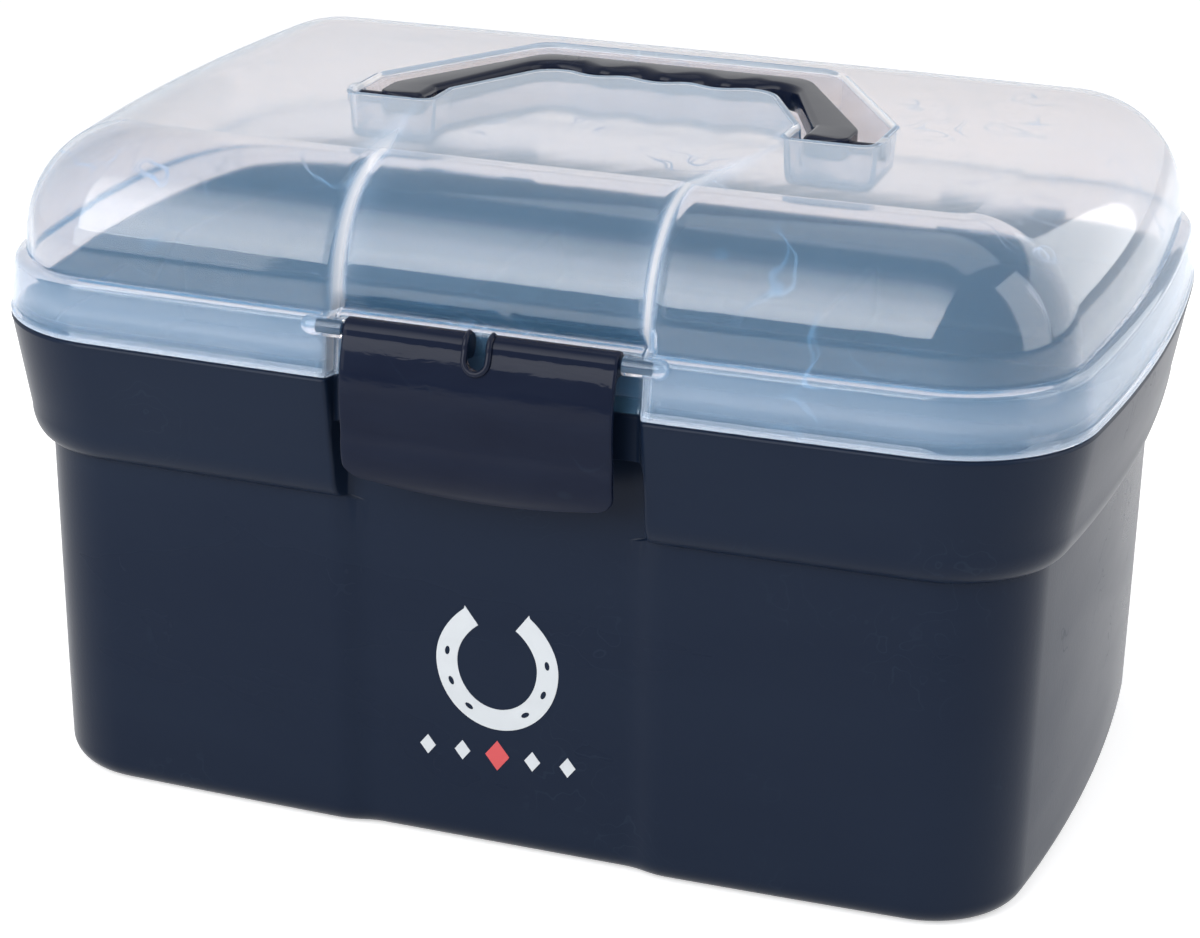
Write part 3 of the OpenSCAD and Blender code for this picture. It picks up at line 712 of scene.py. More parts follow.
def span(tree, value, low, high, to_low, to_high):
    """Maps a range of a value to another range, held at its ends."""
    return put(tree, "ShaderNodeMapRange", {"Value": value, "From Min": low, "From Max": high,
                                            "To Min": to_low, "To Max": to_high}).outputs["Result"]


def blend(tree, factor, a, b):
    """Mixes two colours."""
    node = put(tree, "ShaderNodeMix", data_type="RGBA")
    for key, value in (("Factor_Float", factor), ("A_Color", a), ("B_Color", b)):
        socket = next(s for s in node.inputs if s.identifier == key)
        if isinstance(value, bpy.types.NodeSocket):
            tree.links.new(value, socket)
        else:
            socket.default_value = value if key == "Factor_Float" else (*value, 1)
    return next(s for s in node.outputs if s.identifier == "Result_Color")


def node_tree(name, kind, inputs, outputs):
    """Starts a node group with named inputs and outputs."""
    tree = bpy.data.node_groups.new(name, kind)
    for label, socket, default in inputs:
        made = tree.interface.new_socket(label, in_out="INPUT", socket_type=socket)
        if default is not None:
            made.default_value = default
    for label, socket in outputs:
        tree.interface.new_socket(label, in_out="OUTPUT", socket_type=socket)
    return tree, put(tree, "NodeGroupInput"), put(tree, "NodeGroupOutput")


def moulded_skin():
    """Surface of a moulding: slow flow marks, a fine skin, and scattered scuffs."""
    name, number = "moulded_skin", "NodeSocketFloat"
    if name in bpy.data.node_groups:
        return bpy.data.node_groups[name]
    tree, given, result = node_tree(
        name, "ShaderNodeTree",
        [("Vector", "NodeSocketVector", None), ("Flow Scale", number, 14.0), ("Skin Scale", number, 900.0),
         ("Scuff Scale", number, 60.0)],
        [("Flow", number), ("Skin", number), ("Scuffs", number)])
    at = given.outputs["Vector"]

    def noise(vector, scale, detail, **more):
        return put(tree, "ShaderNodeTexNoise", {"Vector": vector, "Scale": scale, "Detail": detail, **more})

    drawn = put(tree, "ShaderNodeMapping", {"Vector": at, "Scale": (0.5, 0.5, 1.6)})
    flow = noise(drawn.outputs[0], given.outputs["Flow Scale"], 4.0, Roughness=0.55, Distortion=0.4)
    skin = noise(at, given.outputs["Skin Scale"], 2.0)
    bend = noise(at, given.outputs["Scuff Scale"], 3.0)
    lines = put(tree, "ShaderNodeTexWave",
                {"Vector": bend.outputs["Color"], "Scale": 5.0, "Distortion": 3.0, "Detail": 2.0},
                wave_type="BANDS", bands_direction="DIAGONAL")
    hair = span(tree, lines.outputs["Fac"], 0.965, 1.0, 0.0, 1.0)
    patch = span(tree, noise(at, 22.0, 2.0).outputs["Fac"], 0.56, 0.68, 0.0, 1.0)
    tree.links.new(span(tree, flow.outputs["Fac"], 0.3, 0.7, 0.0, 1.0), result.inputs["Flow"])
    tree.links.new(skin.outputs["Fac"], result.inputs["Skin"])
    tree.links.new(times(tree, hair, patch), result.inputs["Scuffs"])
    return tree


def new_material(name):
    """Starts a material and returns it with its tree and its output."""
    made = bpy.data.materials.new(name)
    made.use_nodes = True
    tree = made.node_tree
    tree.nodes.clear()
    return made, tree, put(tree, "ShaderNodeOutputMaterial")


def skin_of(tree, flow, skin, scuff):
    """Places the moulded skin in a material on the piece's own coordinates."""
    node = put(tree, "ShaderNodeGroup", node_tree=moulded_skin())
    tree.links.new(put(tree, "ShaderNodeTexCoord").outputs["Object"], node.inputs["Vector"])
    for label, scale in (("Flow Scale", flow), ("Skin Scale", skin), ("Scuff Scale", scuff)):
        node.inputs[label].default_value = scale
    return node.outputs["Flow"], node.outputs["Skin"], node.outputs["Scuffs"]


def bump(tree, height, strength, distance):
    """Normal that follows a height."""
    return put(tree, "ShaderNodeBump", {"Height": height, "Strength": strength,
                                        "Distance": distance}).outputs["Normal"]


def coated(made, tree, out, base, rough, normal, constants):
    """Ends a material in one Principled shader."""
    shader = put(tree, "ShaderNodeBsdfPrincipled",
                 {"Base Color": base, "Roughness": rough, "Normal": normal, **constants})
    tree.links.new(shader.outputs[0], out.inputs["Surface"])
    return made


def material(name, make):
    """The material of a name, made once."""
    return bpy.data.materials.get(name) or make(name)


def navy_moulding(name):
    """Smooth navy moulding with a soft gloss."""
    f = settings().finish
    made, tree, out = new_material(name)
    flow, skin, scuffs = skin_of(tree, 9.0, 700.0, 30.0)
    base = blend(tree, times(tree, flow, 0.30), f.navy, f.navy_worn)
    base = blend(tree, times(tree, scuffs, 0.5), base, f.navy_worn)
    rough = plus(tree, span(tree, flow, 0.0, 1.0, 0.25, 0.34), times(tree, scuffs, 0.15))
    normal = bump(tree, plus(tree, times(tree, skin, 0.35), flow), 0.12, 0.0006)
    return coated(made, tree, out, base, rough, normal, {"IOR": 1.49, "Specular IOR Level": 0.10})


def navy_polish(name):
    """Polished navy moulding with fine scratches."""
    f = settings().finish
    made, tree, out = new_material(name)
    flow, _, scuffs = skin_of(tree, 24.0, 900.0, 18.0)
    base = blend(tree, times(tree, scuffs, 0.25), f.gloss, f.navy_worn)
    rough = plus(tree, span(tree, flow, 0.0, 1.0, 0.10, 0.17), times(tree, scuffs, 0.2))
    normal = bump(tree, math(tree, "SUBTRACT", flow, times(tree, scuffs, 0.3)), 0.10, 0.0008)
    return coated(made, tree, out, base, rough, normal, {"IOR": 1.5, "Specular IOR Level": 0.13})


def navy_worn_polish(name):
    """Polish of the latch: dented and scratched by use."""
    f = settings().finish
    made, tree, out = new_material(name)
    flow, _, scuffs = skin_of(tree, 60.0, 900.0, 14.0)
    # Painted sheen and wear: soft patches of the lighter navy
    base = blend(tree, times(tree, flow, 0.20), f.gloss, f.wear_and_sheen)
    base = blend(tree, times(tree, scuffs, 0.35), base, f.navy_worn)
    rough = plus(tree, span(tree, flow, 0.0, 1.0, 0.045, 0.08), times(tree, scuffs, 0.15))
    normal = bump(tree, math(tree, "SUBTRACT", flow, times(tree, scuffs, 0.3)), 0.12, 0.0008)
    return coated(made, tree, out, base, rough, normal, {"IOR": 1.5, "Specular IOR Level": 0.09})


def navy_dull(name):
    """Darker, less glossy copy of the latch's navy for its roll: painted shade standing in for the dark
    reflection there.
    """
    f = settings().finish
    made, tree, out = new_material(name)
    flow, skin, scuffs = skin_of(tree, 40.0, 900.0, 18.0)
    # Scuffs take the lighter navy of painted sheen and wear
    base = blend(tree, times(tree, scuffs, 0.25), f.gloss, f.wear_and_sheen)
    rough = span(tree, flow, 0.0, 1.0, 0.16, 0.24)
    return coated(made, tree, out, base, rough, bump(tree, skin, 0.1, 0.0004),
                  {"IOR": 1.5, "Specular IOR Level": 0.05})


def milky_clear(name):
    """Clear moulding with a faint milky bloom, bluish over dark and neutral over white, and a painted
    highlight: whiter bloom painted on its thick edges.
    """
    f = settings().finish
    made, tree, out = new_material(name)
    flow, _, scuffs = skin_of(tree, 11.0, 500.0, 12.0)
    rough = plus(tree, span(tree, flow, 0.0, 1.0, 0.035, 0.075), times(tree, scuffs, 0.12))
    normal = bump(tree, flow, 0.085, 0.0012)
    clear = put(tree, "ShaderNodeBsdfPrincipled",
                {"Base Color": (*f.clear, 1), "Roughness": rough, "Normal": normal,
                 "IOR": 1.46, "Transmission Weight": 1.0})
    # Painted highlight: the points' share of whiter bloom on the lid's thick edges
    edge = put(tree, "ShaderNodeAttribute", attribute_name="painted_edge_highlight").outputs["Fac"]
    milk = blend(tree, times(tree, edge, 1.5, clamp=True), f.haze, f.edge)
    bloom = put(tree, "ShaderNodeBsdfPrincipled",
                {"Base Color": milk, "Roughness": 0.4, "Normal": normal, "Specular IOR Level": 0.11})
    cloud = plus(tree, span(tree, flow, 0.0, 1.0, f.haze_share * 0.85, f.haze_share * 1.15),
                 times(tree, scuffs, 0.10))
    cloud = plus(tree, cloud, times(tree, edge, f.painted_edge_share), clamp=True)
    body = put(tree, "ShaderNodeMixShader", {0: cloud, 1: clear.outputs[0], 2: bloom.outputs[0]})
    shadow = put(tree, "ShaderNodeLightPath").outputs["Is Shadow Ray"]
    passing = put(tree, "ShaderNodeBsdfTransparent", {"Color": LID_SHADE})
    shown = put(tree, "ShaderNodeMixShader", {0: shadow, 1: body.outputs[0], 2: passing.outputs[0]})
    tree.links.new(shown.outputs[0], out.inputs["Surface"])
    return made


def drawn_steel(name):
    """Bright drawn wire."""
    f = settings().finish
    made, tree, out = new_material(name)
    flow, skin, _ = skin_of(tree, 60.0, 1800.0, 80.0)
    base = blend(tree, times(tree, flow, 0.4), f.steel, DARK_STEEL)
    rough = span(tree, skin, 0.2, 0.8, 0.22, 0.38)
    return coated(made, tree, out, base, rough, bump(tree, skin, 0.2, 0.0002), {"Metallic": 1.0})


def ink(name, colour, worn):
    """Screen-printed ink with a slightly uneven coat."""
    made, tree, out = new_material(name)
    flow, skin, scuffs = skin_of(tree, 70.0, 1600.0, 60.0)
    base = blend(tree, plus(tree, times(tree, flow, 0.3), times(tree, scuffs, 0.3)), colour, worn)
    rough = span(tree, flow, 0.0, 1.0, 0.34, 0.46)
    return coated(made, tree, out, base, rough, bump(tree, skin, 0.15, 0.0002), {"Specular IOR Level": 0.3})


def white_ink(name):
    """White of the print."""
    c = settings().finish.ink_white
    return ink(name, c, [v * 0.86 for v in c])


def coral_ink(name):
    """Coral of the print."""
    c = settings().finish.ink_coral
    return ink(name, c, [v * 0.8 for v in c])


# Pieces


def tub_wall_inset(tub, z):
    """Inset of the tub's wall below the collar."""
    foot = tub.rim - tub.collar
    return tub.inset + tub.draft * (1 - z / foot)


def collar_inset(tub, z):
    """Inset of the collar's leaning face."""
    return tub.collar_lean * (tub.rim - z) / (tub.collar - tub.collar_edge)


class BOX_OT_tub(bpy.types.Operator):
    """Tub with its collar, rim, ledge and hinge knuckles"""
    bl_idname = "grooming_box.tub"
    bl_label = "Tub"

    def execute(self, context):
        s = settings()
        plan, t, h = s.plan, s.tub, s.hinge
        foot = t.rim - t.collar
        gap_floor = t.inset + plan.recess_depth
        catch = t.rim - t.catch
        inner = t.tongue_in + t.tongue_wall
        brow = collar_inset(t, foot + t.collar_edge)
        rim_edge, edge, slack = 0.0012, 0.0006, 0.0004
        rings = [wall_ring(plan, t.bottom_edge * (1 - cos(a)),
                           tub_wall_inset(t, 0) + t.bottom_edge * (1 - sin(a))) for a in quarter(10)]
        rings += [wall_ring(plan, z, tub_wall_inset(t, z)) for z in (*WALL_LEVELS, foot - UNDER_COLLAR)]
        rings += [gap_ring(plan,
                           foot + t.collar_edge * (1 - cos(a)) - t.foot_fillet * cos(a) * FILLET_SHARE,
                           t.inset - (t.inset - brow) * sin(a), gap_floor) for a in quarter(12)]
        for z in (foot + ON_COLLAR, catch - t.catch_slope):
            rings.append(gap_ring(plan, z, collar_inset(t, z), gap_floor))
        rings += [gap_ring(plan, z, collar_inset(t, z), plan.rim_recess) for z in (catch, t.rim - rim_edge)]
        rings += [gap_ring(plan, t.rim - rim_edge * (1 - sin(a)), rim_edge * (1 - cos(a)),
                           plan.rim_recess + rim_edge * (1 - cos(a))) for a in quarter(4)]
        rings.append(gap_ring(plan, t.rim, t.tongue_in, plan.rim_recess + t.tongue_in, t.tongue_in))
        for z, e in ((t.rim + slack, t.tongue_in), (t.rim + t.tongue - edge, t.tongue_in),
                     (t.rim + t.tongue, t.tongue_in + edge), (t.rim + t.tongue, inner - edge / 2),
                     (t.rim + t.tongue - edge / 2, inner)):
            rings.append(gap_ring(plan, z, e, plan.rim_recess + e, e))
        lean = collar_inset(t, catch) / 2
        back_floor = gap_floor + t.wall
        levels = [(catch, inner + lean, plan.rim_recess + inner + slack),
                  (catch - t.catch_slope, inner + lean + slack, back_floor)]
        levels += [(t.ledge + rise, inset, back_floor) for rise, inset in LEDGE_STEPS]
        rings += [gap_ring(plan, z, e, floor, inner) for z, e, floor in levels]
        rings.append(wall_ring(plan, t.ledge, tub_wall_inset(t, t.ledge) + t.wall + slack, t.wall))
        r = t.bottom_edge - t.wall
        rings += [wall_ring(plan, t.floor + r * (1 - cos(a)),
                            tub_wall_inset(t, 0) + t.wall + r * (1 - sin(a)), t.wall)
                  for a in reversed(quarter(6))]
        shell = Shell()
        shell.solid(rings)
        crown = Crown(plan, 0)
        middle = (h.lid_length + h.tub_length) / 2 + h.gap
        for side in (-1, 1):
            for end in (-1, 1):
                x = side * h.x + end * middle
                knuckle(shell, h, x, h.tub_length)
                shell.block([(crown.back(x) - collar_inset(t, h.z - h.gusset) - t.wall, h.z - h.gusset),
                             (h.y, h.z - h.knuckle + slack), (h.y, h.z - GUSSET_TIP),
                             (crown.back(x) - t.wall, h.z - GUSSET_ROOT)], x,
                            h.tub_length / 2 - GUSSET_PLAY, BLOCK_EDGE)
        shell.piece("tub", material("navy_moulding", navy_moulding), "base", "navy_plastic", "base_tub")
        return {"FINISHED"}


def knuckle(shell, h, x, width):
    """Bored hinge barrel with softened ends."""
    half, edge = width / 2, KNUCKLE_EDGE
    shell.barrel([(-half, h.bore), (-half, h.knuckle - edge), (edge - half, h.knuckle),
                  (half - edge, h.knuckle), (half, h.knuckle - edge), (half, h.bore)], x, h.y, h.z)


class BOX_OT_lid(bpy.types.Operator):
    """Clear domed lid with its skirt, recess, handle pocket, bosses and knuckles"""
    bl_idname = "grooming_box.lid"
    bl_label = "Lid"

    def execute(self, context):
        s = settings()
        plan, lid, latch, h = s.plan, s.lid, s.latch, s.hinge
        shell = Shell()

        def skirt(z, e, wall=0.0):
            return gap_ring(plan, z, e, e + plan.rim_recess, wall)

        def lean(z):
            rise = (z - lid.foot - lid.lip) / (lid.skirt_top - RIM - lid.lip)
            return lid.lip_out + (lid.skirt_lean - lid.lip_out) * rise

        def dome(wall):
            centre, r = lid.top - lid.dome_radius, lid.dome_radius - wall
            return [dome_ring(plan, lid, centre + r * sin(a), lid.dome_in + lid.dome_radius - r * cos(a),
                              wall) for a in quarter(22)]

        low, lip_top = lid.foot, lid.foot + lid.lip
        lip_edge, neck = 0.0004, lip_top + NECK_RISE
        outer = [skirt(low, lip_edge), skirt(low + lip_edge, 0.0), skirt(lip_top - lip_edge, 0.0),
                 skirt(lip_top, lip_edge / 2), skirt(neck, lean(neck) - NECK_OUT)]
        outer += [skirt(z, lean(z)) for z in (lip_top + SKIRT_FOOT, SKIRT_MIDDLE)]
        outer += [skirt(lid.skirt_top + lid.shoulder * sin(a),
                        lid.skirt_lean + (lid.step - lid.skirt_lean) * (1 - cos(a))) for a in quarter(8)]
        outer += dome(0.0)
        inner = [skirt(low, lid.wall, lid.wall)]
        inner += [skirt(z, lean(z) + lid.wall, lid.wall) for z in (lip_top, SKIRT_MIDDLE)]
        inner += [skirt(lid.skirt_top + (lid.shoulder - lid.wall) * sin(a),
                        lid.skirt_lean + lid.wall + (lid.step - lid.skirt_lean) * (1 - cos(a)), lid.wall)
                  for a in quarter(6)]
        inner += dome(lid.wall)
        inner_top, outer_top = shell.loft(inner[::-1] + outer)
        plan_path = pocket_outline(s.handle)
        depth = lid.top - lid.pocket_floor

        def well(level, grow, edge, draft, fillet):
            """Pocket wall from an upper edge down to the floor's loop."""
            floor, ease = level - depth, 0.0006
            steps = [(edge + ease, level)]
            steps += [(edge * (1 - sin(a)), level - edge * (1 - cos(a))) for a in quarter(5)]
            steps += [(-draft * 0.05, level - edge - ease)]
            steps += [(-draft - fillet * (1 - cos(a)), floor + fillet * (1 - sin(a))) for a in quarter(5)]
            return [[Vector((p.x, p.y, z)) for p in outset(plan_path, grow + d)] for d, z in steps]

        brim, floor = shell.loft(well(lid.top, 0.0, lid.pocket_edge, lid.pocket_draft, lid.pocket_fillet))
        shell.fill(outer_top, brim)
        shell.fill(floor)
        brim, floor = shell.loft(well(lid.top - lid.wall, lid.wall, POCKET_INNER_EDGE, lid.pocket_draft,
                                      lid.pocket_fillet + lid.wall / 2))
        shell.fill(inner_top, brim)
        shell.fill(floor)
        bosses = set()
        for side in (-1, 1):
            plain = set(shell.bm.verts)
            n = lid.boss_length + lid.boss_reach
            nose = [(n - back, lid.boss * size) for back, size in BOSS_NOSE]
            shell.rod([(0, lid.boss - lip_edge), (lip_edge, lid.boss), *nose],
                      side * (plan.gap - lid.boss_reach), latch.y, latch.z, side)
            bosses |= set(shell.bm.verts) - plain
            shell.rod(SOCKET_PROFILE, side * (s.handle.foot + SOCKET_OUT), s.handle.pivot_y,
                      lid.top - s.handle.thick / 2, side)
            knuckle(shell, h, side * h.x, h.lid_length)
            web = Crown(plan, lid.lip_out).back(h.x) - lid.wall / 2
            under, over, tip = h.z + WEB_UNDER, h.z + h.knuckle, h.y - WEB_TIP
            shell.block([(web, under), (tip, under), (tip, over - WEB_FALL), (web, over + WEB_RISE)],
                        side * h.x, h.lid_length / 2 - WEB_PLAY, BLOCK_EDGE)

        def glow(vert):
            """Painted highlight: each point's share of whiter bloom on flanks, lip, skirt, pocket and
            bosses, in place of light that the thick moulding gathers; none beside the latch's gap.
            """
            x, y, z = abs(vert.co.x), vert.co.y, vert.co.z
            if vert in bosses:
                return BOSS_PAINTED_HIGHLIGHT
            front = y < -plan.depth / 4
            if front and x < plan.gap + GAP_MARGIN and z < lid.skirt_top + lid.shoulder:
                return 0.0
            if z < lid.foot + lid.lip * 0.9:
                return LIP_PAINTED_HIGHLIGHT
            half, near, far = POCKET_AREA
            if x < half and near < y < far and z > lid.pocket_floor - lid.wall * 1.5:
                if lid.top - lid.pocket_edge * 1.1 < z < lid.top - TOP_MARGIN:
                    return BRIM_PAINTED_HIGHLIGHT
                return POCKET_PAINTED_HIGHLIGHT if z < lid.top - lid.wall - WALL_MARGIN else 0.0
            flank = 1 - abs(x - lid.dome_floor - lid.dome_ramp / 2) / FLANK_REACH if front else 0.0
            rise = (z - lid.foot - lid.lip) / (lid.skirt_top + lid.shoulder * 0.6 - lid.foot - lid.lip)
            return max(FLANK_PAINTED_HIGHLIGHT * flank, SKIRT_PAINTED_HIGHLIGHT * sin(pi * rise) ** 0.6 if 0 < rise < 1 else 0.0)

        shell.piece("lid", material("milky_clear", milky_clear), "lid", "clear_plastic", "lid_shell",
                    glow=glow)
        return {"FINISHED"}


def arc_points(start, end, sagitta, count):
    """Points on an arc that swells to the left of its run."""
    half = (end - start).length / 2
    radius = bowed(half, sagitta)
    along = (end - start).normalized()
    left = Vector((-along.y, along.x))
    centre = (start + end) / 2 + left * (sagitta - radius)
    top = asin(half / radius)
    return [centre + (along * sin(a) + left * cos(a)) * radius
            for a in (top * (2 * k / count - 1) for k in range(count + 1))]


def plate_face(latch):
    """Front of the latch plate in Y and Z, from the roll down to the lower edge."""
    top = Vector((latch.y - latch.roll, latch.z))
    bend = Vector((top.x - latch.bulge, latch.z - latch.drop * latch.bend))
    low = Vector((top.x + latch.tuck, latch.z - latch.drop))
    face = arc_points(low, bend, latch.turn, 24) + arc_points(bend, top, latch.swell, 30)[1:]
    for _ in range(3):
        face = [face[0]] + [(a + b * 2 + c) / 4 for a, b, c in zip(face, face[1:], face[2:])] + [face[-1]]
    return face[::-1]


def height_on(face, z):
    """Y of a face at a height."""
    for a, b in zip(face, face[1:]):
        if a.y >= z >= b.y:
            return a.x + (b.x - a.x) * (a.y - z) / (a.y - b.y)
    return face[-1].x if z < face[-1].y else face[0].x


def shape_tree(name, sizes):
    """Starts Geometry Nodes that take an object's mesh, sizes and a finish."""
    geometry = "NodeSocketGeometry"
    inputs = [("Geometry", geometry, None)]
    inputs += [(label, "NodeSocketFloat", default) for label, default in sizes]
    inputs.append(("Finish", "NodeSocketMaterial", None))
    return node_tree(name, "GeometryNodeTree", inputs, [("Geometry", geometry)])


def dressed(tree, given, result, shape):
    """Ends Geometry Nodes in one plain mesh with its finish."""
    whole = put(tree, "GeometryNodeRealizeInstances", {"Geometry": shape.outputs[0]})
    finished = put(tree, "GeometryNodeSetMaterial",
                   {"Geometry": whole.outputs[0], "Material": given.outputs["Finish"]})
    tree.links.new(finished.outputs[0], result.inputs[0])
    return tree


def follow_path(name, count):
    """Geometry Nodes that draw a round bead along an object's edges."""
    tree, given, result = shape_tree(name, [("Radius", 0.001)])
    path = put(tree, "GeometryNodeMeshToCurve", {"Mesh": given.outputs["Geometry"]})
    profile = put(tree, "GeometryNodeCurvePrimitiveCircle",
                  {"Resolution": count, "Radius": given.outputs["Radius"]})
    tube = put(tree, "GeometryNodeCurveToMesh",
               {"Curve": path.outputs[0], "Profile Curve": profile.outputs[0], "Fill Caps": True})
    smooth = put(tree, "GeometryNodeSetShadeSmooth", {"Geometry": tube.outputs[0]})
    return dressed(tree, given, result, smooth)


def grown(piece, tree, values):
    """Runs a Geometry Nodes tree on an object and returns the plain mesh that it makes."""
    modifier = piece.modifiers.new(tree.name, "NODES")
    modifier.node_group = tree
    for item in tree.interface.items_tree:
        if item.item_type == "SOCKET" and item.in_out == "INPUT" and item.name in values:
            modifier[item.identifier] = values[item.name]
    return baked(piece)


def baked(piece):
    """Plain mesh of an object with its modifiers, which are then removed."""
    graph = bpy.context.evaluated_depsgraph_get()
    mesh = bpy.data.meshes.new_from_object(piece.evaluated_get(graph))
    piece.modifiers.clear()
    return mesh


def scratch_object(name, mesh):
    """An object that only helps to make another."""
    helper = bpy.data.objects.new(name, mesh)
    bpy.context.scene.collection.objects.link(helper)
    return helper


class BOX_OT_latch(bpy.types.Operator):
    """Snap latch with its roll, slot, bead, hook rib and stub pins"""
    bl_idname = "grooming_box.latch"
    bl_label = "Latch"

    def execute(self, context):
        s = settings()
        plan, t = s.plan, s.latch
        face = plate_face(t)
        low = t.z - t.drop
        flat = t.width / 2 - t.corner

        def lower_edge(x):
            """Height of the sagging lower edge, with its rounded corners."""
            reach = abs(x) - flat
            if reach <= 0:
                return low + t.sag * (x / flat) ** 2
            return low + t.sag + t.flank * (1 - sqrt(max(0.0, 1 - (reach / t.corner) ** 2)))

        def section(x, inset):
            """Closed outline of the latch across X, drawn in at the side edges."""
            end = lower_edge(x) + inset
            heights = [t.z - (t.z - end) * k / 40 for k in range(41)]
            front = [Vector((x, height_on(face, z) + inset, z)) for z in heights]
            back = [Vector((x, height_on(face, z) + t.plate - inset, z)) for z in heights]
            tip_y, tip_r = (front[-1].y + back[-1].y) / 2, (back[-1].y - front[-1].y) / 2
            tip = [Vector((x, tip_y - tip_r * cos(a), end - 0.6 * tip_r * sin(a)))
                   for a in (pi * k / 8 for k in range(1, 8))]
            r = t.roll - inset
            meet = pi + asin(min(1.0, (sqrt(max(0.0, r * r - (t.roll - t.plate) ** 2))) / r))
            roll = [Vector((x, t.y + r * cos(a), t.z + r * sin(a)))
                    for a in (meet + (pi - meet + 2 * pi) * k / 28 for k in range(28))]
            under = [p for p in reversed(back) if p.z < t.z - r * 0.9]
            return front + tip, under, roll

        columns, count = [], 26
        half, edge = t.width / 2, t.edge
        spread = [-half + edge + (t.width - 2 * edge) * k / 64 for k in range(1, 64)]
        places = [(-half + edge * (1 - cos(a)), edge * (1 - sin(a))) for a in quarter(3)]
        places += [(x, 0.0) for x in spread]
        places += [(half - edge * (1 - cos(a)), edge * (1 - sin(a))) for a in reversed(quarter(3))]
        for x, inset in places:
            front, under, roll = section(x, inset)
            step = (len(under) - 1) / (count - 1)
            picked = [under[int(k * step)].lerp(under[min(int(k * step) + 1, len(under) - 1)], k * step % 1)
                      for k in range(count)]
            columns.append(front + picked + roll)
        shell = Shell()
        shell.solid(columns)
        blank = shell.helper("latch_blank")
        r = t.slot / 2
        middle = t.z + t.roll - t.slot_depth + r
        outline = [Vector((r * cos(a), middle + r * sin(a))) for a in (pi + pi * k / 20 for k in range(21))]
        top = t.z + t.roll + KNIFE_OVER
        outline += [Vector((r, top)), Vector((-r, top))]
        cutter = Shell()
        cutter.solid([[Vector((p.x, y, p.y)) for p in outline]
                      for y in (t.y - KNIFE_REACH, t.y + KNIFE_REACH)])
        knife = cutter.helper("slot_knife")
        cut = blank.modifiers.new("slot", "BOOLEAN")
        cut.operation, cut.solver, cut.object = "DIFFERENCE", "EXACT", knife
        shell = Shell(baked(blank))
        for used in (blank, knife):
            bpy.data.objects.remove(used)
        for side in (-1, 1):
            shell.rod(PIN_PROFILE, side * (half - PIN_IN), t.y, t.z, side)
        hook_y, hook_top = -plan.depth / 2 + plan.rim_recess - HOOK_GAP, HOOK_Z + HOOK_HEIGHT
        inside = height_on(face, HOOK_Z) + t.plate / 2
        hook = [(inside, HOOK_Z), (hook_y, HOOK_Z + HOOK_SLOPE), (hook_y, hook_top), (inside, hook_top)]
        shell.block(hook, 0, flat, KNUCKLE_EDGE)
        # The top of the roll takes a darker, less glossy copy of the finish: painted shade for the dark
        # reflection it shows
        finishes = material("navy_worn_polish", navy_worn_polish), material("navy_dull", navy_dull)
        shell.piece("latch", finishes, "latch", "navy_gloss", "latch_clip",
                    painted_shade=lambda at: at.z > t.z - t.roll * 0.25)
        rim = r + BEAD_RIM
        roll_front = [Vector((0, t.y - t.roll * cos(a), t.z + t.roll * sin(a))) for a in quarter(8)]
        heights = [middle + (t.z - middle) * k / 8 for k in range(8)]
        side_path = [Vector((0, height_on(face, z), z)) for z in heights]
        arm = [p + Vector((rim, -BEAD_PROUD, 0)) for p in side_path + roll_front]
        turns = [pi + pi * k / 20 for k in range(1, 20)]
        bow = [(rim * cos(a), middle + rim * sin(a)) for a in turns]
        curve = [Vector((x, height_on(face, z) - BEAD_PROUD, z)) for x, z in bow]
        path = [Vector((-p.x, p.y, p.z)) for p in reversed(arm)] + curve + arm
        line = bpy.data.meshes.new("slot_bead")
        line.from_pydata(path, [(k, k + 1) for k in range(len(path) - 1)], [])
        bead = scratch_object("slot_bead", line)
        bead.data = grown(bead, follow_path("bead_along_edge", 14),
                          {"Radius": t.bead, "Finish": material("navy_polish", navy_polish)})
        seat(bead, None, "latch", "navy_gloss")
        return {"FINISHED"}


class BOX_OT_handle(bpy.types.Operator):
    """Folding handle with finger hollows and pivot stubs"""
    bl_idname = "grooming_box.handle"
    bl_label = "Handle"

    def execute(self, context):
        s = settings()
        h, lid = s.handle, s.lid
        path = handle_outline(h)
        middle = lid.top - h.thick / 2
        grip = h.pivot_y + h.reach - h.grip
        hollows = [max(0.0, 1 - cos(2 * pi * p.x / h.pitch)) / 2
                   if abs(p.x) < 1.5 * h.pitch and p.y < grip + h.grip / 2 else 0.0 for p in path]

        def upper(a):
            """Ring of the upper edge: crisp outside, soft inside, scooped back where fingers lie."""
            crisp, soft = (outset(path, -r * (1 - cos(a))) for r in (h.crisp, h.edge))
            half, back, down = len(path) // 2, 1 - cos(a), 1 - sin(a)
            outside = [Vector((p.x, p.y, lid.top - h.crisp * down)) for p in crisp[:half]]
            return outside + [Vector((p.x, p.y + w * h.scoop * back,
                                      lid.top - (h.edge + w * h.scoop_drop) * down))
                              for p, w in zip(soft[half:], hollows[half:])]

        rings = [[Vector((p.x, p.y, middle - h.thick / 2 + h.edge * (1 - cos(a))))
                  for p in outset(path, -h.edge * (1 - sin(a)))] for a in quarter(7)]
        shell = Shell()
        first, last = shell.loft(rings + [upper(a) for a in quarter(7)])
        for loop in (first, last):
            n = len(loop)
            for k in range(n // 2 - 1):
                shell.bm.faces.new((loop[k], loop[k + 1], loop[n - 2 - k], loop[n - 1 - k]))
        for side in (-1, 1):
            start = h.foot - h.foot_width / 2
            reach = h.foot + STUB_REACH - start
            shell.rod([(0, h.pivot), (reach - STUB_EDGE, h.pivot), (reach, h.pivot - STUB_EDGE)],
                      side * start, h.pivot_y, middle, side)
        shell.piece("handle", material("navy_polish", navy_polish), "handle", "navy_gloss", "carry_handle")
        return {"FINISHED"}


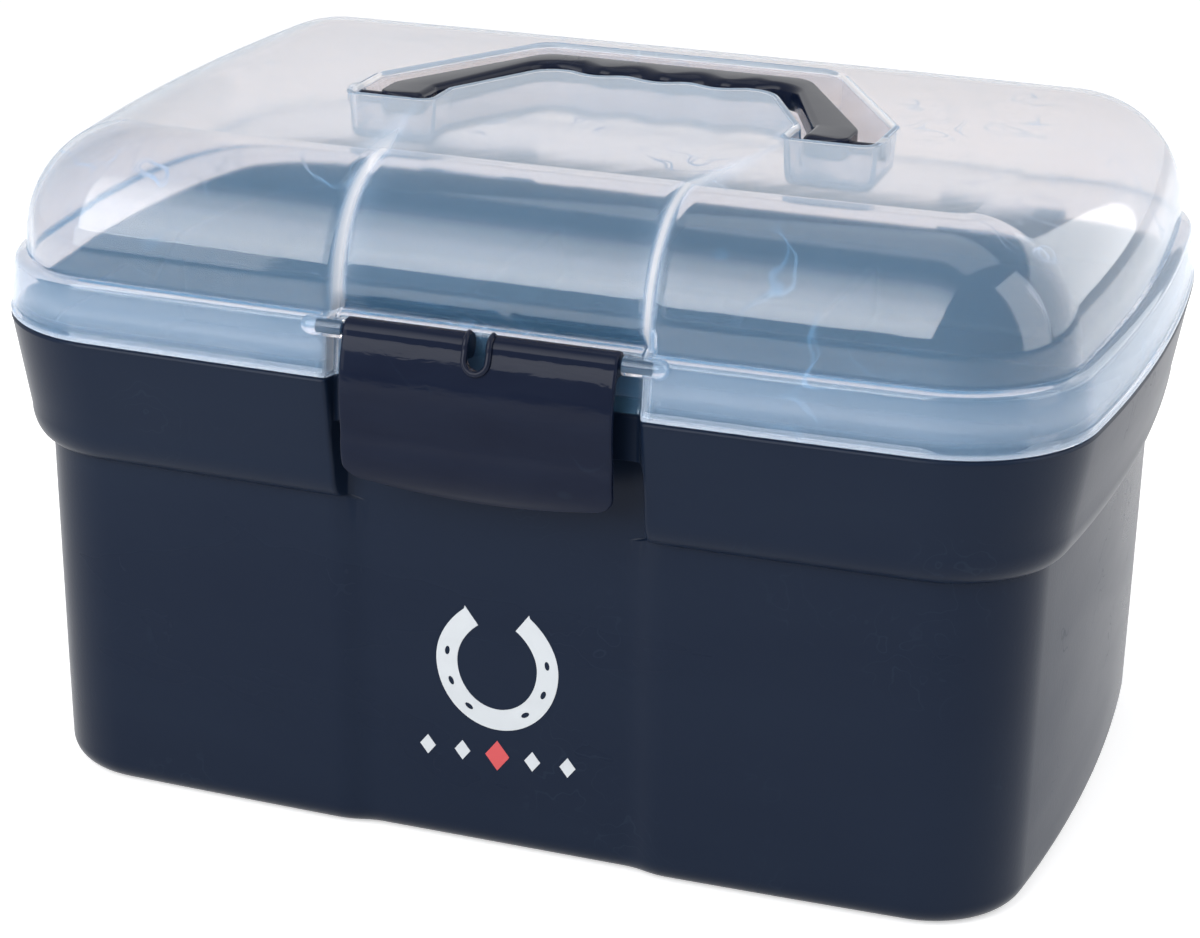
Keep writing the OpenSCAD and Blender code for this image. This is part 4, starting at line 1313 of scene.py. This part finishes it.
class BOX_OT_tray(bpy.types.Operator):
    """Lift-out tray with dividers and finger notches"""
    bl_idname = "grooming_box.tray"
    bl_label = "Tray"

    def execute(self, context):
        s = settings()
        plan, t = s.plan, s.tray

        def wall(z, e, w):
            """Ring of the tray's wall, which dips at the finger notches."""
            foot = plan.gap + t.side_step + w
            points = ring(plan, z, e, t.floor_in + w - e, foot, foot + plan.gap_step, TRAY_SOFT)
            if z < t.low + t.height * 0.7:
                return points
            for p in points:
                if abs(p.x) > plan.width / 2 * 0.85 and abs(p.y) < t.notch / 2:
                    p.z -= t.notch_depth * (1 + cos(2 * pi * p.y / t.notch)) / 2
            return points

        top, e = t.low + t.height, t.inset
        rings = [wall(t.low + t.edge * (1 - cos(a)), e + t.draft + t.edge * (1 - sin(a)), t.wall / 4)
                 for a in quarter(5)]
        rings += [wall(t.low + t.height * k, e + t.draft * (1 - k), t.wall / 4) for k in (0.3, 0.5)]
        rings += [wall(z, e + d, d) for z, d in ((top - TRAY_EDGE, 0.0), (top, TRAY_EDGE),
                                                 (top, t.wall - TRAY_EDGE), (top - TRAY_EDGE, t.wall))]
        rings += [wall(t.low + t.height * k, e + t.draft * (1 - k) + t.wall, t.wall) for k in (0.5, 0.3)]
        rings += [wall(t.low + t.wall + t.edge * (1 - cos(a)), e + t.draft + t.wall + t.edge * (1 - sin(a)),
                       t.wall * 1.2) for a in reversed(quarter(5))]
        shell = Shell()
        shell.solid(rings)
        mid = Crown(plan, e + t.draft + t.wall / 2)
        half = t.wall / 2
        z0, z1 = t.low + half, t.low + t.divider
        reach = mid.end(t.divider_y)
        ridge = [(-half, z0), (half, z0), (half * 0.8, z1 - half), (half * 0.4, z1), (-half * 0.4, z1),
                 (-half * 0.8, z1 - half)]
        shell.block([(t.divider_y + y, z) for y, z in ridge], 0, reach, DIVIDER_EDGE)
        back = mid.back(t.divider_x)
        for side in (-1, 1):
            x = side * t.divider_x
            shell.solid([[Vector((x + along, y, z)) for along, z in ridge] for y in (t.divider_y, back)])
        shell.piece("tray", material("navy_moulding", navy_moulding), "tray", "navy_plastic", "insert_tray")
        return {"FINISHED"}


def diamond_row(name):
    """Geometry Nodes that set a diamond on each point of a line."""
    tree, given, result = shape_tree(name, [("Half Height", 0.005), ("Film", 0.0001)])
    outline = put(tree, "GeometryNodeMeshCylinder",
                  {"Vertices": 4, "Radius": given.outputs["Half Height"], "Depth": given.outputs["Film"]})
    slim = put(tree, "GeometryNodeTransform",
               {"Geometry": outline.outputs["Mesh"], "Rotation": (pi / 2, 0, 0), "Scale": (0.78, 1, 1)})
    row = put(tree, "GeometryNodeInstanceOnPoints",
              {"Points": given.outputs["Geometry"], "Instance": slim.outputs[0]})
    return dressed(tree, given, result, row)


class BOX_OT_emblem(bpy.types.Operator):
    """Printed emblem on the front: a horseshoe over a row of diamonds"""
    bl_idname = "grooming_box.emblem"
    bl_label = "Emblem"

    def execute(self, context):
        s = settings()
        plan, t, p = s.plan, s.tub, s.emblem

        def front(z):
            """Y of the recess floor that carries the print."""
            return -(plan.depth / 2 - tub_wall_inset(t, z) - plan.recess_depth)

        def film(shell, loops):
            """Closed film of ink over an outline and its holes, just sunk into the wall."""
            sheets = []
            for out in (PRINT_SUNK, -p.film):
                sheets.append([shell.loop([Vector((q.x, front(p.z + q.y) + out, p.z + q.y)) for q in loop])
                               for loop in loops])
            for under, over in zip(*sheets):
                shell.skin(under, over)
            for sheet in sheets:
                shell.fill(*sheet)

        spread, count = radians(148), 60
        turns = [-pi / 2 + spread * (2 * k / count - 1) for k in range(count + 1)]
        lift, row_drop, hole_long, hole_wide = 0.006, 0.0285, 0.0017, 0.0009

        def bow(width, height, a):
            """Point of the horseshoe's bow, which narrows towards its heels."""
            pinch = 1 - 0.16 * max(0.0, sin(a)) ** 2
            return Vector((width * cos(a) * pinch, lift + height * sin(a)))

        outer = [bow(p.shoe_width, p.shoe_height, a) for a in turns]
        inner = [bow(p.shoe_width - p.shoe_band, p.shoe_height - p.shoe_band, a) for a in reversed(turns)]
        heel = p.shoe_band * 0.16
        outer[0].x -= heel
        outer[-1].x += heel
        loops = [outer + inner]
        for side in (-1, 1):
            for turn in (34, 66, 98):
                a = -pi / 2 + side * radians(turn)
                at = bow(p.shoe_width - p.shoe_band / 2, p.shoe_height - p.shoe_band / 2, a)
                along = Vector((-sin(a), cos(a)))
                across = Vector((along.y, -along.x))
                loops.append([at + along * hole_long * cos(u) + across * hole_wide * sin(u)
                              for u in (2 * pi * k / 12 for k in range(12))])
        shell = Shell()
        film(shell, loops)
        white, coral = material("white_ink", white_ink), material("coral_ink", coral_ink)
        shell.piece("emblem_shoe", white, "base", "navy_plastic")
        z = p.z - row_drop
        y = front(z) - p.film / 2
        tree = diamond_row("diamond_row")
        for name, places, size, inked in (
                ("emblem_diamonds", [k for k in range(-p.count, p.count + 1) if k], p.diamond * SIDE_SHARE,
                 white), ("emblem_middle", [0], p.diamond * MIDDLE_SHARE, coral)):
            line = bpy.data.meshes.new(name)
            line.from_pydata([(k * p.spacing, y, z) for k in places], [], [])
            row = scratch_object(name, line)
            row.data = grown(row, tree, {"Half Height": size, "Film": p.film, "Finish": inked})
            seat(row, None, "base", "navy_plastic")
        return {"FINISHED"}


class BOX_OT_pins(bpy.types.Operator):
    """Steel finish of the two hinge pins"""
    bl_idname = "grooming_box.pins"
    bl_label = "Hinge pins"

    def execute(self, context):
        steel = material("drawn_steel", drawn_steel)
        for node in ("hinge_pin_left", "hinge_pin_right"):
            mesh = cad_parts[node].data
            mesh.materials.clear()
            mesh.materials.append(steel)
        return {"FINISHED"}


# Stage


def towards(turn, rise):
    """Direction at an angle round the box and an angle over the floor."""
    return Vector((sin(turn) * cos(rise), -cos(turn) * cos(rise), sin(rise)))


def grade(data, fade):
    """Grades a soft box over its height."""
    data.use_nodes = True
    tree = data.node_tree
    tree.nodes.clear()
    at = put(tree, "ShaderNodeNewGeometry").outputs["Parametric"]
    ramp = put(tree, "ShaderNodeValToRGB", {"Fac": put(tree, "ShaderNodeSeparateXYZ", {0: at}).outputs[1]})
    ramp.color_ramp.interpolation = "EASE"
    for height, _ in fade[1:-1]:
        ramp.color_ramp.elements.new(height)
    for element, (height, bright) in zip(ramp.color_ramp.elements, fade):
        element.position, element.color = height, (bright, bright, bright, 1)
    glow = put(tree, "ShaderNodeEmission", {"Color": ramp.outputs["Color"], "Strength": 1.0})
    tree.links.new(glow.outputs[0], put(tree, "ShaderNodeOutputLight").inputs["Surface"])


def lamp(name, turn, rise, far, width, height, power):
    """Soft box that faces the box."""
    data = bpy.data.lights.new(name, "AREA")
    data.shape, data.size, data.size_y, data.energy = "RECTANGLE", width, height, power
    if name in FADES:
        grade(data, FADES[name])
    box = bpy.data.objects.new(name, data)
    place = LAMP_AIM + towards(radians(turn), radians(rise)) * far
    box.location = place
    box.rotation_euler = (LAMP_AIM - place).to_track_quat("-Z", "Y").to_euler()
    box.visible_camera = False
    bpy.context.scene.collection.objects.link(box)


def background_rays(tree):
    """1 for rays that meet the background: from the camera, in gloss and through clear plastic."""
    path = put(tree, "ShaderNodeLightPath")
    seen = plus(tree, path.outputs["Is Camera Ray"], path.outputs["Is Transmission Ray"])
    return plus(tree, seen, path.outputs["Is Glossy Ray"], clamp=True)


def pale_floor(name):
    """Plain pale floor that keeps the shadow of the box."""
    made, tree, out = new_material(name)
    flow, _, _ = skin_of(tree, 1.2, 90.0, 3.0)
    base = blend(tree, times(tree, flow, 0.2), FLOOR_PALE, FLOOR_SHADE)
    shader = put(tree, "ShaderNodeBsdfPrincipled",
                 {"Base Color": base, "Roughness": 0.9, "Specular IOR Level": 0.1})
    shine = put(tree, "ShaderNodeEmission",
                {"Color": (1, 1, 1, 1), "Strength": times(tree, background_rays(tree), FLOOR_LIFT)})
    whole = put(tree, "ShaderNodeAddShader", {0: shader.outputs[0], 1: shine.outputs[0]})
    tree.links.new(whole.outputs[0], out.inputs["Surface"])
    return made


class BOX_OT_stage(bpy.types.Operator):
    """Camera at the viewing angle, soft lamps, white surroundings and a pale floor"""
    bl_idname = "grooming_box.stage"
    bl_label = "Stage"

    def execute(self, context):
        scene, v = context.scene, settings().stage
        back = towards(v.azimuth, v.elevation)
        right = Vector((cos(v.azimuth), sin(v.azimuth), 0))
        up = back.cross(right)
        right, up = right * cos(v.roll) + up * sin(v.roll), up * cos(v.roll) - right * sin(v.roll)
        data = bpy.data.cameras.new("camera")
        data.lens, data.sensor_width, data.sensor_fit = v.lens, 36, "HORIZONTAL"
        data.clip_start, data.clip_end = 0.05, 50
        camera = bpy.data.objects.new("camera", data)
        turn = Matrix((right, up, back)).transposed().to_4x4()
        camera.matrix_world = Matrix.Translation(Vector(v.target) + back * v.distance) @ turn
        scene.collection.objects.link(camera)
        scene.camera = camera

        world = bpy.data.worlds.new("white_room")
        world.use_nodes = True
        tree = world.node_tree
        tree.nodes.clear()
        ground = put(tree, "ShaderNodeBackground", {
            "Color": blend(tree, background_rays(tree), (v.glow, v.glow, v.glow), (1, 1, 1))})
        tree.links.new(ground.outputs[0], put(tree, "ShaderNodeOutputWorld").inputs["Surface"])
        scene.world = world

        for box in LAMPS:
            lamp(*box)

        mesh = bpy.data.meshes.new("floor")
        n = v.floor
        mesh.from_pydata([(-n, -n, 0), (n, -n, 0), (n, n, 0), (-n, n, 0)], [], [(0, 1, 2, 3)])
        floor = bpy.data.objects.new("floor", mesh)
        floor.data.materials.append(material("pale_floor", pale_floor))
        scene.collection.objects.link(floor)
        scene.view_settings.view_transform = "Standard"
        return {"FINISHED"}


OPERATORS = (BOX_OT_tub, BOX_OT_lid, BOX_OT_latch, BOX_OT_handle, BOX_OT_tray, BOX_OT_emblem, BOX_OT_pins,
             BOX_OT_stage)


class BOX_PT_panel(bpy.types.Panel):
    """Lists the pieces of the grooming box"""
    bl_idname = "BOX_PT_panel"
    bl_label = "Grooming Box"
    bl_space_type = "VIEW_3D"
    bl_region_type = "UI"
    bl_category = "Grooming Box"

    def draw(self, context):
        """Draws a button for each piece."""
        for operator in OPERATORS:
            self.layout.operator(operator.bl_idname)


CLASSES = (PlanSizes, TubSizes, LidSizes, LatchSizes, HandleSizes, TraySizes, HingeSizes, PrintSizes,
           Finishes, StageSizes, GroomingBox, *OPERATORS, BOX_PT_panel)


def register():
    """Adds the classes and the scene's settings."""
    for made in CLASSES:
        bpy.utils.register_class(made)
    bpy.types.Scene.grooming_box = PointerProperty(type=GroomingBox)


def unregister():
    """Takes away what register adds."""
    del bpy.types.Scene.grooming_box
    for made in reversed(CLASSES):
        bpy.utils.unregister_class(made)


def main():
    """Makes the pieces and the stage."""
    register()
    bpy.ops.grooming_box.tub()
    bpy.ops.grooming_box.lid()
    bpy.ops.grooming_box.latch()
    bpy.ops.grooming_box.handle()
    bpy.ops.grooming_box.tray()
    bpy.ops.grooming_box.emblem()
    bpy.ops.grooming_box.pins()
    bpy.ops.grooming_box.stage()


if __name__ == "__main__":
    main()
